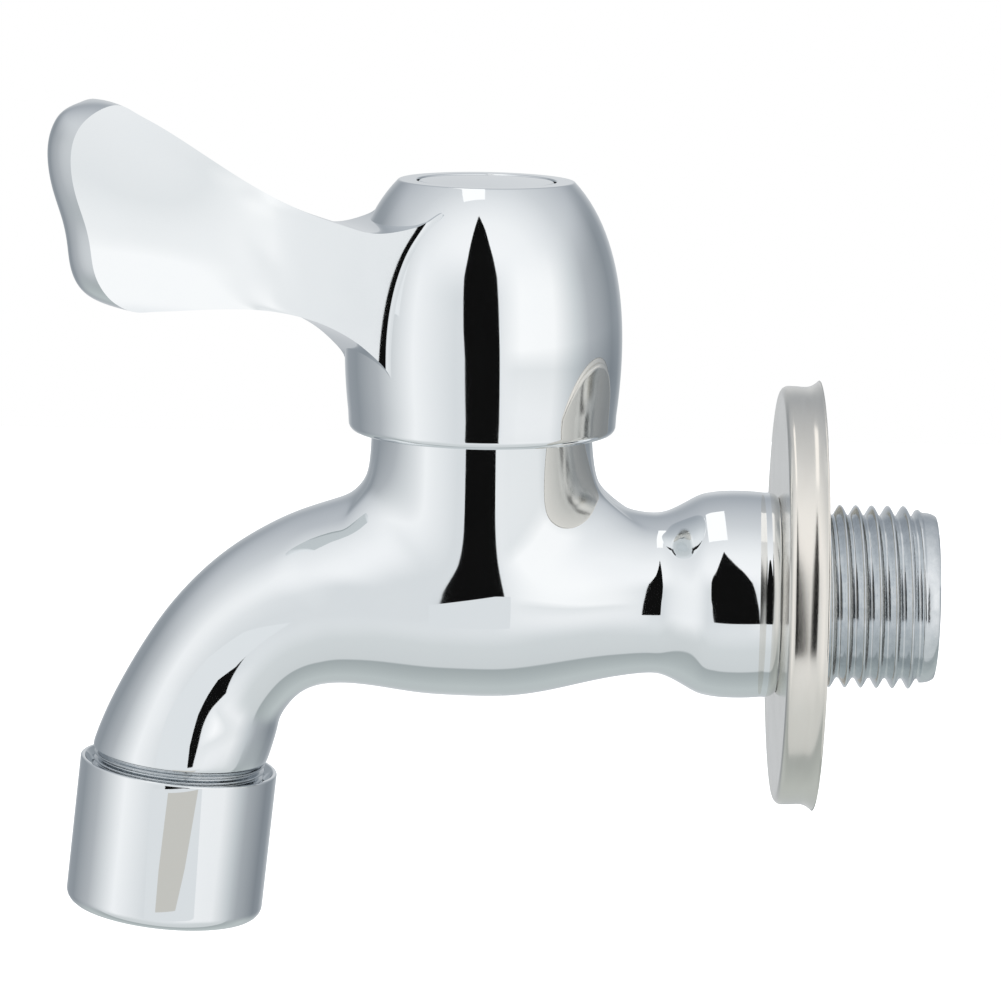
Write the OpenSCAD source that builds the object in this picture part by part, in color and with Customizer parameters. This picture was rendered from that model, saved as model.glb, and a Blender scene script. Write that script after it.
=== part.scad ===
// Wall-mounted utility sink tap: a cast body with an inlet tail and a bent spout, a ceramic
// quarter-turn headwork under a bell-shaped lever handle, a loose wall flange and an aerator.
// Lengths are in millimetres. The origin is on the inlet's axis at the wall, +X runs into the
// wall and +Z is up. Heights are measured from the inlet's axis unless a comment says otherwise.

/* [Inlet] */
// Distance from the wall to the valve's upright axis
wall_to_valve = 38.5; // [36:0.5:60]
// Outside diameter of the inlet's pipe thread
inlet_thread_d = 20.955; // [19:0.005:23]
// Length of the tail behind the collar's face
tail_len = 18; // [12:0.5:30]
// Bore of the tail
inlet_bore_d = 13; // [9:0.5:14]
// Diameter of the thread's run-out groove behind the collar
runout_d = 18.6; // [16:0.1:18.8]
// Length of the run-out groove
runout_len = 3.5; // [1:0.1:4]
// Chamfer at the tail's end
tail_chamfer = 1.2; // [0.3:0.1:2]
// Diameter of the collar that the flange rests on
collar_d = 23.7; // [22:0.1:28]
// Length of the collar's full-width stretch
collar_len = 6.1; // [3:0.1:9]
// Rounding of the collar's edge
collar_edge = 0.8; // [0.2:0.1:1.5]
// Diameter of the waist between the collar and the chamber
waist_d = 18.4; // [17:0.1:21]
// Distance from the collar's full width to the waist
waist_rise = 7.5; // [4:0.1:9]

/* [Wall flange] */
// Depth of the pressed flange
flange_depth = 4.4; // [3:0.1:7]
// Diameter of its rim
flange_d = 48; // [40:0.5:70]
// How far the rim draws in behind its front corner
flange_draw = 0.2; // [0:0.05:0.5]
// How far the rear lip flares out
flange_flare = 0.65; // [0.2:0.05:1.5]
// Radius of its front corner
flange_corner = 1.6; // [1:0.1:3]
// Thickness of its sheet
flange_sheet = 0.6; // [0.4:0.1:0.9]
// Clearance between its hole and the inlet thread, on the radius
flange_clear = 0.32; // [0.2:0.01:0.5]

/* [Chamber and neck] */
// Outside diameter of the body at the valve's axis
chamber_d = 24.4; // [23.5:0.1:28]
// Half length of the full-width stretch at the valve's axis
chamber_half = 2; // [0.5:0.5:4]
// How far the chamber's two sides bulge, and the reach of that bulge along the body
chamber_bulge = [0.45, 6]; // [0:0.05:8]
// Outside diameter of the neck
neck_d = 25.2; // [23:0.1:28]
// Height of the neck's top face
neck_top = 19.6; // [19:0.1:24]
// Height at which the neck starts to flare into the body
flare_top = 17.6; // [16:0.1:18]
// How far the flare reaches towards the inlet
flare_inlet = 19.5; // [16:0.5:21]
// Share of the spout's bend that the flare reaches over
flare_bend = 0.18; // [0.1:0.01:0.3]
// Angle from the top at which the flare leaves the body's sides
flare_side = 90; // [70:1:95]
// The same angle at the flare's two ends
flare_end = 35; // [25:1:50]
// Pull of the flare's curve at the body and at the neck, as shares of its length
flare_pull = [0.42, 0.49]; // [0.2:0.01:0.6]

/* [Spout] */
// Distance from the valve's axis to the outlet's shoulder
spout_reach = 34.1; // [31:0.1:60]
// Drop from the inlet's axis to the outlet's shoulder
spout_drop = 19.6; // [17:0.1:40]
// Lean of the outlet out of the vertical
outlet_lean = 5.7; // [0:0.1:15]
// Straight run from the valve's axis before the bend
spout_run = 8; // [4:0.5:10]
// Pull of the bend's curve at its start and at the outlet
bend_pull = [16.2, 13.3]; // [4:0.1:20]
// Lean of the bend's curve where it meets the outlet
bend_lean = 18; // [0:1:25]
// Diameter of the spout's throat
throat_d = 17.8; // [16:0.1:19]
// Diameter of the outlet's shoulder
outlet_d = 20.1; // [19.8:0.1:21]
// Length of the outlet's full-width stretch
outlet_run = 0.6; // [0.4:0.1:6]
// Length over which the throat widens to the outlet
outlet_taper = 10; // [5:0.5:14]
// Length of the throat's narrowest stretch
throat_run = 2.5; // [1:0.5:6]
// Wall of the spout
spout_wall = 2.6; // [1.5:0.1:3]

/* [Waterway] */
// Height of the valve seat
seat_z = 0.8; // [0.2:0.1:1.6]
// Diameter of the hole through the seat
seat_hole_d = 8.4; // [6:0.1:8.6]
// Diameter of the passage under the seat
under_d = 6.8; // [5:0.1:7]
// Depth of that passage's axis below the inlet's axis
under_drop = 4.6; // [4.3:0.1:5]
// Bore of the chamber around the headwork
chamber_bore_d = 19.2; // [18.4:0.1:19.8]
// Height of the chamber's top
chamber_top = 12.2; // [11.8:0.1:12.5]
// Thickness of the web between the inlet's bore and the chamber
web = 4.4; // [2:0.1:6]

/* [Headwork] */
// Wall of the neck round the headwork's thread
neck_wall = 2.2; // [1.8:0.05:2.6]
// Clearance of that thread in the neck, on the radius
thread_clear = 0.1; // [0.05:0.01:0.2]
// Plain stretch between that thread and the neck's top
thread_relief = 1; // [0.5:0.1:2]
// Outside diameter of the cage round the discs
cage_d = 17.2; // [16.8:0.1:18]
// Bore of the cage
cage_bore_d = 14.4; // [13.6:0.1:14.8]
// Height of the cage's open foot above the seat
cage_lift = 0.8; // [0.4:0.1:1.2]
// Width of the two water windows in the cage
window_w = 8; // [4:0.5:10]
// How far the windows reach below the drive plate
window_drop = 0.75; // [0.2:0.05:1.5]
// Thickness of each ceramic disc
disc_h = 3; // [2:0.1:3.5]
// Clearance of the discs and the seat seal in the cage, on the radius
disc_clear = 0.1; // [0.05:0.01:0.3]
// Film of water between the discs
disc_film = 0.02; // [0.01:0.01:0.05]
// Inner and outer diameter of the discs' ports
port_d = [4.4, 11.2]; // [3:0.1:12]
// Angle that each port spans
port_angle = 76; // [40:1:84]
// Height of the rubber seal on the seat
seat_seal_h = 2.6; // [1.6:0.1:3.2]
// Thickness of the washer under the hexagon
neck_seal_h = 1; // [0.6:0.1:1.6]
// Clearance of that washer round the headwork, on the radius
seal_clear = 0.2; // [0.1:0.05:0.4]
// How far the hexagon's corners lie inside the round flange under it
hex_inset = 0.28; // [0.1:0.01:1]
// Height of the round flange under the hexagon
hex_flange_h = 0.8; // [0.5:0.1:1.5]
// Height of the hexagon
hex_h = 4.2; // [3:0.1:5]
// Diameter of the gland above the hexagon
gland_d = 15.2; // [14.6:0.1:17]
// Height of the gland above the hexagon
gland_h = 2; // [1:0.1:3]
// Height of the stop wall on the gland
stop_wall_h = 1.6; // [1:0.1:1.8]
// Thickness of the stop wall
stop_wall = 1.9; // [1.2:0.1:2.1]

/* [Spindle] */
// Diameter of the stem
stem_d = 9; // [8.6:0.1:10]
// Running clearance of the stem, on the radius
stem_clear = 0.1; // [0.06:0.01:0.15]
// Diameter of the drive plate
plate_d = 14; // [12:0.1:14.1]
// Width of the drive plate across its flats
plate_w = 6.5; // [5:0.1:8]
// Thickness of the drive plate
plate_h = 2.2; // [1.5:0.1:3]
// Width and depth of the tongue under the plate
tongue = [3, 1.1]; // [0.8:0.1:4]
// Clearance of the tongue in the moving disc's slot
tongue_clear = 0.1; // [0.05:0.05:0.2]
// Thickness of the friction washer over the plate
friction_washer_h = 0.8; // [0.4:0.1:1.2]
// Clearance over the friction washer
washer_clear = 0.05; // [0.02:0.01:0.1]
// Diameter of the seal rings' cord
oring_cord = 1.2; // [0.9:0.05:1.5]
// Width of the seal rings' grooves
oring_groove = 1.5; // [1.3:0.05:2]
// Clearance of the seal rings, on the radius
oring_clear = 0.05; // [0.03:0.01:0.08]
// Heights of the two seal rings
oring_z = [16, 20.5]; // [14:0.1:24]
// Outside diameter of the splines
spline_d = 8; // [7:0.1:8.4]
// Depth of the splines
spline_h = 0.45; // [0.2:0.05:0.6]
// Half widths of a spline at its root and at its tip, as shares of the pitch
spline_half = [0.32, 0.14]; // [0.1:0.01:0.4]
// Number of splines
spline_count = 20; // [12:1:28]
// Clearance between splines and socket
spline_clear = 0.05; // [0.03:0.01:0.1]
// Height of the splined end above the stem
spline_len = 9.5; // [8.8:0.1:12]
// Running clearance of the stop ring over the gland
stop_clear = 0.1; // [0.05:0.05:0.3]
// Thickness of the stop ring
stop_ring_h = 1.2; // [0.8:0.1:1.4]
// Width of the stop ring round the splines
stop_ring_w = 1.4; // [1:0.1:1.5]
// Angle that the stop ring's lug spans
stop_lug = 26; // [16:1:40]
// Spare angle between the lug and the stop wall at each end
stop_spare = 2; // [1:0.5:5]
// Thickness of the spring clip
clip_h = 0.6; // [0.4:0.1:0.8]
// Width of the spring clip's ring
clip_w = 1.9; // [1.2:0.1:1.9]
// Opening of the spring clip
clip_mouth = 4.8; // [3:0.1:5.6]
// Depth of the clip's groove, and room above and below the clip
clip_groove = [0.6, 0.05]; // [0.02:0.01:0.8]

/* [Handle] */
// Quarter turn between closed and open
travel = 90; // [60:5:90]
// How far the handle stands open
opened = 22; // [0:1:90]
// Height of the bell's lower edge
bell_base = 18.4; // [18:0.1:19]
// Height of the bell
bell_h = 28.6; // [27:0.2:34]
// Clearance of the bell round the neck, on the radius
bell_clear = 0.6; // [0.4:0.05:1.2]
// Wall of the bell at its lower edge
bell_wall = 1.95; // [1.4:0.05:3]
// Rounding of the bell's lower edge
bell_edge = 1.2; // [0.4:0.1:1.3]
// Diameter of the bell's flat top
bell_top_d = 19.9; // [18.6:0.1:24]
// Pull of the bell's curve at its foot, outwards and upwards
bell_pull_low = [1.25, 9.2]; // [0:0.05:14]
// Pull of the bell's curve at its top, outwards and downwards
bell_pull_high = [6.25, 6.4]; // [0:0.05:12]
// Height of the straight part of the bell's inside
bell_bore_h = 15.6; // [10:0.1:18]
// Inside diameter and height of the bell at its ceiling
bell_ceiling = [21.6, 22]; // [18:0.1:24]
// Diameter of the boss that holds the splines
boss_d = 12.8; // [11:0.1:14]
// Clearance of the boss over the spring clip
boss_clear = 0.6; // [0.3:0.1:1]
// Diameter and depth of the recess for the cap
cap_recess = [15.8, 3.8]; // [3:0.1:17]
// Diameter and depth of the counterbore for the screw
screw_recess = [8.6, 2.6]; // [2:0.1:9]

/* [Lever] */
// Reach of the lever's notch from the valve's axis
lever_len = 47.4; // [44:0.2:65]
// Height of the notch above the bell's lower edge
lever_notch = 23; // [20:0.1:26]
// Upper corner of the paddle, from the notch: inwards and upwards
paddle_top = [2.4, 15]; // [1:0.1:20]
// Lower corner of the paddle, from the notch: inwards and downwards
paddle_foot = [4.4, 7.6]; // [1:0.1:12]
// Where the top edge leaves the bell: distance from the axis, height over the bell's lower edge
lever_root_top = [14, 23.3]; // [10:0.1:26]
// Where the lower edge leaves the bell, in the same way
lever_root_foot = [13, 6.6]; // [4:0.1:16]
// Pull of the top edge at the root and at the paddle's corner
top_pull_root = [14, 2.1]; // [0:0.1:24]
top_pull_tip = [9, 3.4]; // [0:0.1:16]
// Pull of the lower edge at the root and at the paddle's corner
foot_pull_root = [7.7, 11.3]; // [0:0.1:16]
foot_pull_tip = [9.4, 0.6]; // [0:0.1:16]
// Pull of the paddle's upper lobe at the notch and at the corner
lobe_pull_notch = [2.9, 6.6]; // [0:0.1:10]
lobe_pull_tip = [7, 1.6]; // [0:0.1:10]
// Pull of the lower lobe at the corner and at the notch
heel_pull_tip = [3, 0.3]; // [0:0.1:6]
heel_pull_notch = [0.9, 2.3]; // [0:0.1:6]
// Where the lever starts inside the bell: distance from the axis, lowest and highest point
lever_start = [8.5, 1.4, 25.4]; // [1:0.1:27]
// Thickness where the lever leaves the bell, at its slimmest place and at the paddle's end
lever_thick = [13.2, 8.4, 8.8]; // [4:0.1:20]
// Distance from the valve's axis at which it is slimmest
lever_slim = 28; // [22:0.5:36]
// Bend of its flare towards the bell: 1 is straight
lever_flare = 1.1; // [1:0.05:3]
// Depth of the valley along each face of the paddle
lever_valley = 0.8; // [0:0.1:2]
// Crown of the lever's edges and of the paddle's end
lever_crown = [0.15, 1.5]; // [0.05:0.05:2]

/* [Handle fixing] */
// Diameter of the handle's screw
screw_d = 4; // [3:0.1:4.4]
// Clearance of the screw in the spindle, on the radius
screw_clear = 0.05; // [0.03:0.01:0.1]
// Clearance of the screw in the handle, on the radius
screw_hole_clear = 0.2; // [0.1:0.05:0.4]
// Length of the screw under its head
screw_len = 10.8; // [8:0.1:11.5]
// Diameter and height of the screw's head
screw_head = [7.2, 2.2]; // [1.5:0.1:8]
// Width, depth and length of the cross in its head
screw_cross = [1, 1.2, 4.8]; // [0.6:0.1:6]
// Diameter and thickness of the spring washer
spring_washer = [7.6, 0.8]; // [0.5:0.1:8.4]
// Clearance of the cap in its recess, on the radius
cap_clear = 0.2; // [0.1:0.05:0.4]
// Thickness of the cap
cap_h = 1.6; // [1:0.1:2]
// How far the cap lies below the bell's top
cap_sink = 0.4; // [0:0.1:1]
// Thickness of the cap's skirt
cap_skirt = 0.8; // [0.5:0.1:1.5]
// Chamfer of the cap's edge
cap_chamfer = 0.3; // [0.1:0.1:0.6]

/* [Aerator] */
// Diameter of the outlet's thread
outlet_thread_d = 19.7; // [18.6:0.1:19.7]
// Length of the outlet's thread
outlet_thread_len = 6.2; // [5:0.1:8]
// Bore of the outlet
outlet_bore_d = 13.6; // [10:0.1:14.4]
// Outside diameter of the aerator's housing
aerator_d = 22.7; // [22:0.1:26]
// Length of the housing
aerator_len = 17.2; // [16:0.1:24]
// Gap between the spout's shoulder and the housing's rim
aerator_gap = 1.45; // [0.6:0.05:2]
// Clearance of the outlet's thread in the housing, on the radius
aerator_clear = 0.15; // [0.05:0.01:0.3]
// Rounding of the housing's lower edge, and chamfer of its rim
aerator_edge = [1.8, 0.4]; // [0.2:0.1:2.2]
// Bore of the housing round the insert
insert_bore_d = 18; // [17.4:0.1:18.4]
// Opening and thickness of the housing's lower lip
aerator_lip = [16.4, 1.3]; // [0.8:0.1:17]
// Thickness of the gasket
gasket_h = 1.8; // [1:0.1:2.4]
// Clearance of the insert and the gasket in the housing
insert_clear = 0.05; // [0.03:0.01:0.1]
// Thickness of the insert's top flange
insert_flange_h = 1.2; // [0.8:0.1:1.8]
// Opening of the insert's top flange
insert_mouth_d = 12.4; // [10:0.1:12.6]
// Wall of the insert's sleeve
insert_wall = 1; // [0.8:0.1:1.4]
// Width and thickness of the insert's lower ledge
insert_ledge = [0.7, 0.6]; // [0.4:0.1:1]
// Thickness of the dirt screen, the jet plate and the honeycomb
screen_h = 0.5; // [0.3:0.1:0.8]
jet_plate_h = 1.2; // [0.8:0.1:2]
comb_h = 2; // [1:0.1:3]
// Diameter and spacing of the dirt screen's holes
screen_hole = [0.9, 1.7]; // [0.6:0.1:2.2]
// Number and diameter of the jets
jet_count = 16; // [8:1:20]
jet_d = 1.1; // [0.6:0.1:1.4]
// Size of a honeycomb cell and thickness of its walls
comb_cell = 1.8; // [1.2:0.1:2.6]
comb_web = 0.35; // [0.25:0.05:0.5]

/* [Hidden] */
$fn = 64;
// Overrun of a cut past the face that it leaves
cut = 1;

// Distances along the body, from the valve's axis towards the wall
collar_x = wall_to_valve - flange_depth;
waist_x = collar_x - collar_len - waist_rise;
flange_hole_d = inlet_thread_d + 2 * flange_clear;

// Diameters that follow from the neck
neck_thread_d = neck_d - 2 * neck_wall;
hex_flange_d = neck_d - 2 * seal_clear;
bell_bore_d = neck_d + 2 * bell_clear;
bell_foot_d = bell_bore_d + 2 * bell_wall;

// Heights up the headwork and the spindle
fixed_disc_z = seat_z + seat_seal_h;
moving_disc_z = fixed_disc_z + disc_h + disc_film;
plate_z = moving_disc_z + disc_h;
friction_z = plate_z + plate_h;
cage_top = friction_z + friction_washer_h + washer_clear;
hex_z = neck_top + neck_seal_h;
gland_z = hex_z + hex_flange_h + hex_h;
stem_top = gland_z + gland_h + stop_clear;
clip_z = stem_top + stop_ring_h + clip_groove[1];
spindle_top = stem_top + spline_len;
stem_bore_d = stem_d + 2 * stem_clear;
stop_ring_d = spline_d + 2 * stop_ring_w;

// Heights in the handle
bell_top = bell_base + bell_h;
cap_floor = bell_top - cap_recess[1];
screw_floor = cap_floor - screw_recess[1];
boss_z = clip_z + clip_h + boss_clear;

// Distances down the outlet, from the spout's shoulder
gasket_z = -outlet_thread_len;
insert_z = gasket_z - gasket_h;
insert_shoulder_z = insert_z - insert_flange_h - insert_clear;
aerator_foot = -aerator_gap - aerator_len;
insert_foot = aerator_foot + aerator_lip[1] + insert_clear;
mouth_d = outlet_thread_d + 2 * aerator_clear;
insert_d = insert_bore_d - 2 * insert_clear;
sleeve_bore_d = insert_d - 2 * insert_wall;
plug_d = sleeve_bore_d - 2 * insert_clear;

// Points of a round arc and of a cubic curve, and a smooth step from 0 to 1
function arc(centre, r, from, to, n = 8) =
  [for (i = [0:n]) let (a = from + (to - from) * i / n) centre + r * [cos(a), sin(a)]];
function cubic(p, t) =
  pow(1 - t, 3) * p[0] + 3 * pow(1 - t, 2) * t * p[1] + 3 * (1 - t) * t * t * p[2] + pow(t, 3) * p[3];
function curve(p, n = 14) = [for (i = [0:n]) cubic(p, i / n)];
function ease(u) = u * u * (3 - 2 * u);
function mix(a, b, u) = a + (b - a) * u;
function unit(v) = v / norm(v);
// Value that eases from knot to knot, each knot being a place and a value
function eased(x, knots, i = 0) =
  x <= knots[i][0] ? knots[i][1]
  : i == len(knots) - 1 ? knots[i][1]
  : x < knots[i + 1][0]
    ? mix(knots[i][1], knots[i + 1][1], ease((x - knots[i][0]) / (knots[i + 1][0] - knots[i][0])))
    : eased(x, knots, i + 1);
// Two triangles of a four-sided patch, clockwise from outside
function patch(a, b, c, d) = [[a, b, c], [a, c, d]];
function joined(lists) = [for (l = lists) for (x = l) x];

// The body's centre line, in the upright plane of the tap: straight from the collar to the
// bend, then one cubic curve to the outlet
lean_dir = [sin(outlet_lean), cos(outlet_lean)];
outlet_at = [-spout_reach, -spout_drop];
bend_dir = [sin(bend_lean), cos(bend_lean)];
bend = [[-spout_run, 0], [-spout_run - bend_pull[0], 0], outlet_at + bend_pull[1] * bend_dir, outlet_at];
edge_steps = [0, 0.1, 0.35, 0.7];
inlet_steps = 10;
hub_steps = 18;
bend_steps = 22;
run_x = concat(
  [for (k = edge_steps) collar_x - k * collar_edge],
  [for (i = [0:inlet_steps]) mix(collar_x - collar_edge, flare_inlet, i / inlet_steps)],
  [for (i = [1:hub_steps]) mix(flare_inlet, -spout_run, i / hub_steps)]);
bend_points = curve(bend, bend_steps);
line = concat([for (x = run_x) [x, 0]], [for (i = [1:bend_steps]) bend_points[i]]);
last = len(line) - 1;
// Length along the centre line, zero at the valve's axis
function step_len(i) = i < last ? norm(line[i + 1] - line[i]) : 0;
travelled = [for (i = 0, s = -collar_x; i <= last; s = s + step_len(i), i = i + 1) s];
spout_len = travelled[last];
girth = [
  [-collar_x + collar_len, collar_d / 2],
  [-waist_x, waist_d / 2],
  [-chamber_half, chamber_d / 2],
  [chamber_half, chamber_d / 2],
  [spout_len - outlet_run - outlet_taper - throat_run, throat_d / 2],
  [spout_len - outlet_run - outlet_taper, throat_d / 2],
  [spout_len - outlet_run, outlet_d / 2]];
// Rounding that the collar's edge takes off the radius, at a distance from its face
function edge_loss(d) =
  d >= collar_edge ? 0 : collar_edge - sqrt(pow(collar_edge, 2) - pow(collar_edge - d, 2));
function radius(i) = eased(travelled[i], girth) - edge_loss(travelled[i] + collar_x);
function heading(i) = unit(line[min(i + 1, last)] - line[max(i - 1, 0)]);
// The last stations turn until the spout's end lies square to the outlet
turn_steps = 7;
function along(i) = unit(mix(heading(i), -lean_dir, ease(max(0, i - last + turn_steps) / turn_steps)));
function upward(i) = let (h = along(i)) [h[1], 0, -h[0]];

// The neck flares out of an opening in the top of that tube. Each ring has top_sides round the
// top, between the opening's two edges, and low_sides round the rest.
top_sides = 8;
low_sides = 24;
sides = top_sides + low_sides;
flare_rings = 8;
flare_from = len(edge_steps) + inlet_steps;
flare_to = flare_from + hub_steps + round(flare_bend * bend_steps);
function flare_angle(i) =
  let (s = travelled[i], end = s < 0 ? -travelled[flare_from] : travelled[flare_to])
  flare_end + (flare_side - flare_end) * cos(90 * min(abs(s) / end, 1));
function ring_angle(i, j) =
  let (a = flare_angle(i))
  j <= top_sides ? mix(-a, a, j / top_sides) : mix(a, 360 - a, (j - top_sides) / low_sides);
function outward(i, j) = let (a = ring_angle(i, j)) cos(a) * upward(i) + [0, sin(a), 0];
function bulge(i, j) =
  [0, chamber_bulge[0] * exp(-pow(travelled[i] / chamber_bulge[1], 2)) * sin(ring_angle(i, j)), 0];
function skin(i, j) = [line[i][0], 0, line[i][1]] + radius(i) * outward(i, j) + bulge(i, j);
// Stations and sides of the opening's edge, in order round it
rim = concat(
  [for (j = [0:top_sides]) [flare_from, j]],
  [for (i = [flare_from + 1:flare_to]) [i, top_sides]],
  [for (j = [top_sides - 1:-1:0]) [flare_to, j]],
  [for (i = [flare_to - 1:-1:flare_from + 1]) [i, 0]]);
function flare_point(k, u) =
  let (
    i = rim[k][0],
    j = rim[k][1],
    low = skin(i, j),
    around = atan2(low[1], low[0]),
    high = [neck_d / 2 * cos(around), neck_d / 2 * sin(around), flare_top],
    reach = high - low,
    a = ring_angle(i, j),
    across = cos(a) * [0, 1, 0] - sin(a) * upward(i),
    normal = unit(cross(skin(i + 1, j) - skin(i - 1, j), across)),
    leave = unit(reach - (reach * normal) * normal))
  cubic([low, low + flare_pull[0] * norm(reach) * leave,
    high - [0, 0, flare_pull[1] * norm(reach)], high], u);

module body_skin() {
  n = len(rim);
  tube = [for (i = [0:last]) for (j = [0:sides - 1]) skin(i, j)];
  flare = [for (r = [1:flare_rings]) for (k = [0:n - 1]) flare_point(k, r / flare_rings)];
  crown = [for (k = [0:n - 1]) let (p = flare_point(k, 1)) [p[0], p[1], neck_top]];
  first = len(tube);
  function at(i, j) = i * sides + (j % sides);
  function up(r, k) = r == 0 ? at(rim[k % n][0], rim[k % n][1]) : first + (r - 1) * n + (k % n);
  tube_faces = joined([for (i = [0:last - 1]) for (j = [0:sides - 1])
    if (i < flare_from || i >= flare_to || j >= top_sides)
      patch(at(i, j), at(i + 1, j), at(i + 1, j + 1), at(i, j + 1))]);
  flare_faces = joined([for (r = [0:flare_rings]) for (k = [0:n - 1])
    patch(up(r, k), up(r + 1, k), up(r + 1, k + 1), up(r, k + 1))]);
  ends = [
    [for (j = [0:sides - 1]) at(0, j)],
    [for (j = [sides - 1:-1:0]) at(last, j)],
    [for (k = [n - 1:-1:0]) up(flare_rings + 1, k)]];
  polyhedron(points = concat(tube, flare, crown), faces = concat(tube_faces, flare_faces, ends));
}

// Water's way down the spout: the same centre line, one wall inside the skin
bore_sides = 20;
bore_from = flare_from + hub_steps;
module spout_bore() {
  stations = [for (i = [bore_from:last]) i];
  count = len(stations);
  rings = [for (i = stations) for (j = [0:bore_sides - 1])
    let (a = 360 * j / bore_sides)
    [line[i][0], 0, line[i][1]] + (radius(i) - spout_wall) * (cos(a) * upward(i) + [0, sin(a), 0])];
  function at(i, j) = i * bore_sides + (j % bore_sides);
  walls = joined([for (i = [0:count - 2]) for (j = [0:bore_sides - 1])
    patch(at(i, j), at(i + 1, j), at(i + 1, j + 1), at(i, j + 1))]);
  ends = [
    [for (j = [0:bore_sides - 1]) at(0, j)],
    [for (j = [bore_sides - 1:-1:0]) at(count - 1, j)]];
  polyhedron(points = rings, faces = concat(walls, ends));
}

// Places: the valve's upright axis, the same turned with the handle, and the outlet
module at_valve() { translate([-wall_to_valve, 0, 0]) children(); }
module at_handle() { at_valve() rotate([0, 0, 180 + opened]) children(); }
module at_outlet() {
  at_valve() translate([-spout_reach, 0, -spout_drop]) rotate([0, outlet_lean, 0]) children();
}
module lift(z) { translate([0, 0, z]) children(); }
module ring(outer_d, inner_d, h) {
  rotate_extrude() translate([inner_d / 2, 0]) square([(outer_d - inner_d) / 2, h]);
}
module along_x(x) { translate([x, 0, 0]) rotate([0, 90, 0]) children(); }
// A ring's sector, centred on an angle
module sector(outer_d, inner_d, h, middle, span) {
  rotate([0, 0, middle - span / 2])
    rotate_extrude(angle = span) translate([inner_d / 2, 0]) square([(outer_d - inner_d) / 2, h]);
}
// Splined section, grown by a clearance
module splines(h, clear = 0) {
  tip = spline_d / 2 + clear;
  root = tip - spline_h;
  step = 360 / spline_count;
  linear_extrude(h)
    polygon([for (i = [0:spline_count - 1])
      for (p = [[-spline_half[0], root], [-spline_half[1], tip],
        [spline_half[1], tip], [spline_half[0], root]])
        p[1] * [cos((i + p[0]) * step), sin((i + p[0]) * step)]]);
}

// Cast and chromed brass body with its inlet tail, water passages and outlet thread
module valve_body() {
  r = inlet_thread_d / 2;
  tail_end = collar_x + tail_len;
  color("silver") difference() {
    union() {
      at_valve() body_skin();
      at_valve() along_x(collar_x - cut) rotate_extrude() polygon([
        [0, 0], [runout_d / 2, 0], [runout_d / 2, cut + runout_len], [r, cut + runout_len],
        [r, cut + tail_len - tail_chamfer], [r - tail_chamfer, cut + tail_len], [0, cut + tail_len]]);
      at_outlet() lift(-outlet_thread_len) cylinder(d = outlet_thread_d, h = outlet_thread_len + cut);
    }
    at_valve() along_x(chamber_bore_d / 2 + web) cylinder(d = inlet_bore_d, h = tail_end);
    at_valve() lift(-under_drop) along_x(0) cylinder(d = under_d, h = chamber_bore_d / 2 + web + cut);
    at_valve() lift(-under_drop) cylinder(d = seat_hole_d, h = under_drop + seat_z + cut);
    at_valve() lift(seat_z) cylinder(d = chamber_bore_d, h = chamber_top - seat_z + cut);
    at_valve() lift(chamber_top)
      cylinder(d = neck_thread_d + 2 * thread_clear, h = neck_top - chamber_top + cut);
    at_valve() spout_bore();
    at_outlet() lift(-outlet_thread_len - cut) cylinder(d = outlet_bore_d, h = outlet_thread_len + 2 * cut);
  }
}

// Loose flange pressed from stainless sheet: flat front, round corner, flared rear lip
module wall_flange() {
  rim_r = flange_d / 2;
  corner_at = [rim_r - flange_corner, -flange_depth + flange_corner];
  function edge(in) = concat(
    arc(corner_at, flange_corner - in, 270, 360),
    curve([[rim_r - in, corner_at[1]], [rim_r - flange_draw - in, corner_at[1] / 2],
      [rim_r - flange_draw - in, corner_at[1] / 3], [rim_r + flange_flare - in, 0]]));
  inner = edge(flange_sheet);
  color("gainsboro") along_x(0) rotate_extrude() polygon(concat(
    [[flange_hole_d / 2, -flange_depth]],
    edge(0),
    [for (i = [len(inner) - 1:-1:0]) inner[i]],
    [[flange_hole_d / 2, -flange_depth + flange_sheet]]));
}

// Brass headwork: cage for the discs, thread, hexagon, gland and the wall that stops the lever
module headwork_body() {
  thread_z = chamber_top + 2 * thread_clear;
  foot = seat_z + cage_lift;
  window_z = plate_z - window_drop;
  gland_top = gland_z + gland_h;
  stop_gap = travel + stop_lug + 2 * stop_spare;
  // Room for the stop ring's lug, between the two ends of the stop wall
  room = [for (a = [-1, -0.5, 0, 0.5, 1])
    let (turn = (travel + a * stop_gap) / 2) gland_d * [cos(turn), sin(turn)]];
  core_r = neck_thread_d / 2 - seal_clear;
  color("goldenrod") at_valve() {
    difference() {
      union() {
        lift(foot) cylinder(d = cage_d, h = cage_top - foot + cut);
        lift(thread_z) cylinder(d = neck_thread_d, h = neck_top - thread_relief - thread_z);
        lift(thread_z) cylinder(r = core_r, h = hex_z - thread_z);
        lift(hex_z) cylinder(d = hex_flange_d, h = hex_flange_h);
        lift(hex_z) cylinder(d = hex_flange_d - 2 * hex_inset, h = hex_flange_h + hex_h, $fn = 6);
        lift(hex_z) cylinder(d = gland_d, h = gland_top + stop_wall_h - hex_z);
      }
      lift(foot - cut) cylinder(d = cage_bore_d, h = cage_top - foot + cut);
      lift(cage_top - cut) cylinder(d = stem_bore_d, h = gland_top - cage_top + 2 * cut);
      lift(gland_top) cylinder(d = gland_d - 2 * stop_wall, h = stop_wall_h + cut);
      lift(gland_top) linear_extrude(stop_wall_h + cut) polygon(concat([[0, 0]], room));
      translate([-cage_d, -window_w / 2, window_z]) cube([2 * cage_d, window_w, friction_z - window_z]);
    }
  }
}

// Rubber washer between the neck and the hexagon
module neck_seal() {
  color("darkslategray") at_valve() lift(neck_top)
    ring(hex_flange_d, neck_thread_d, neck_seal_h);
}

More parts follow.
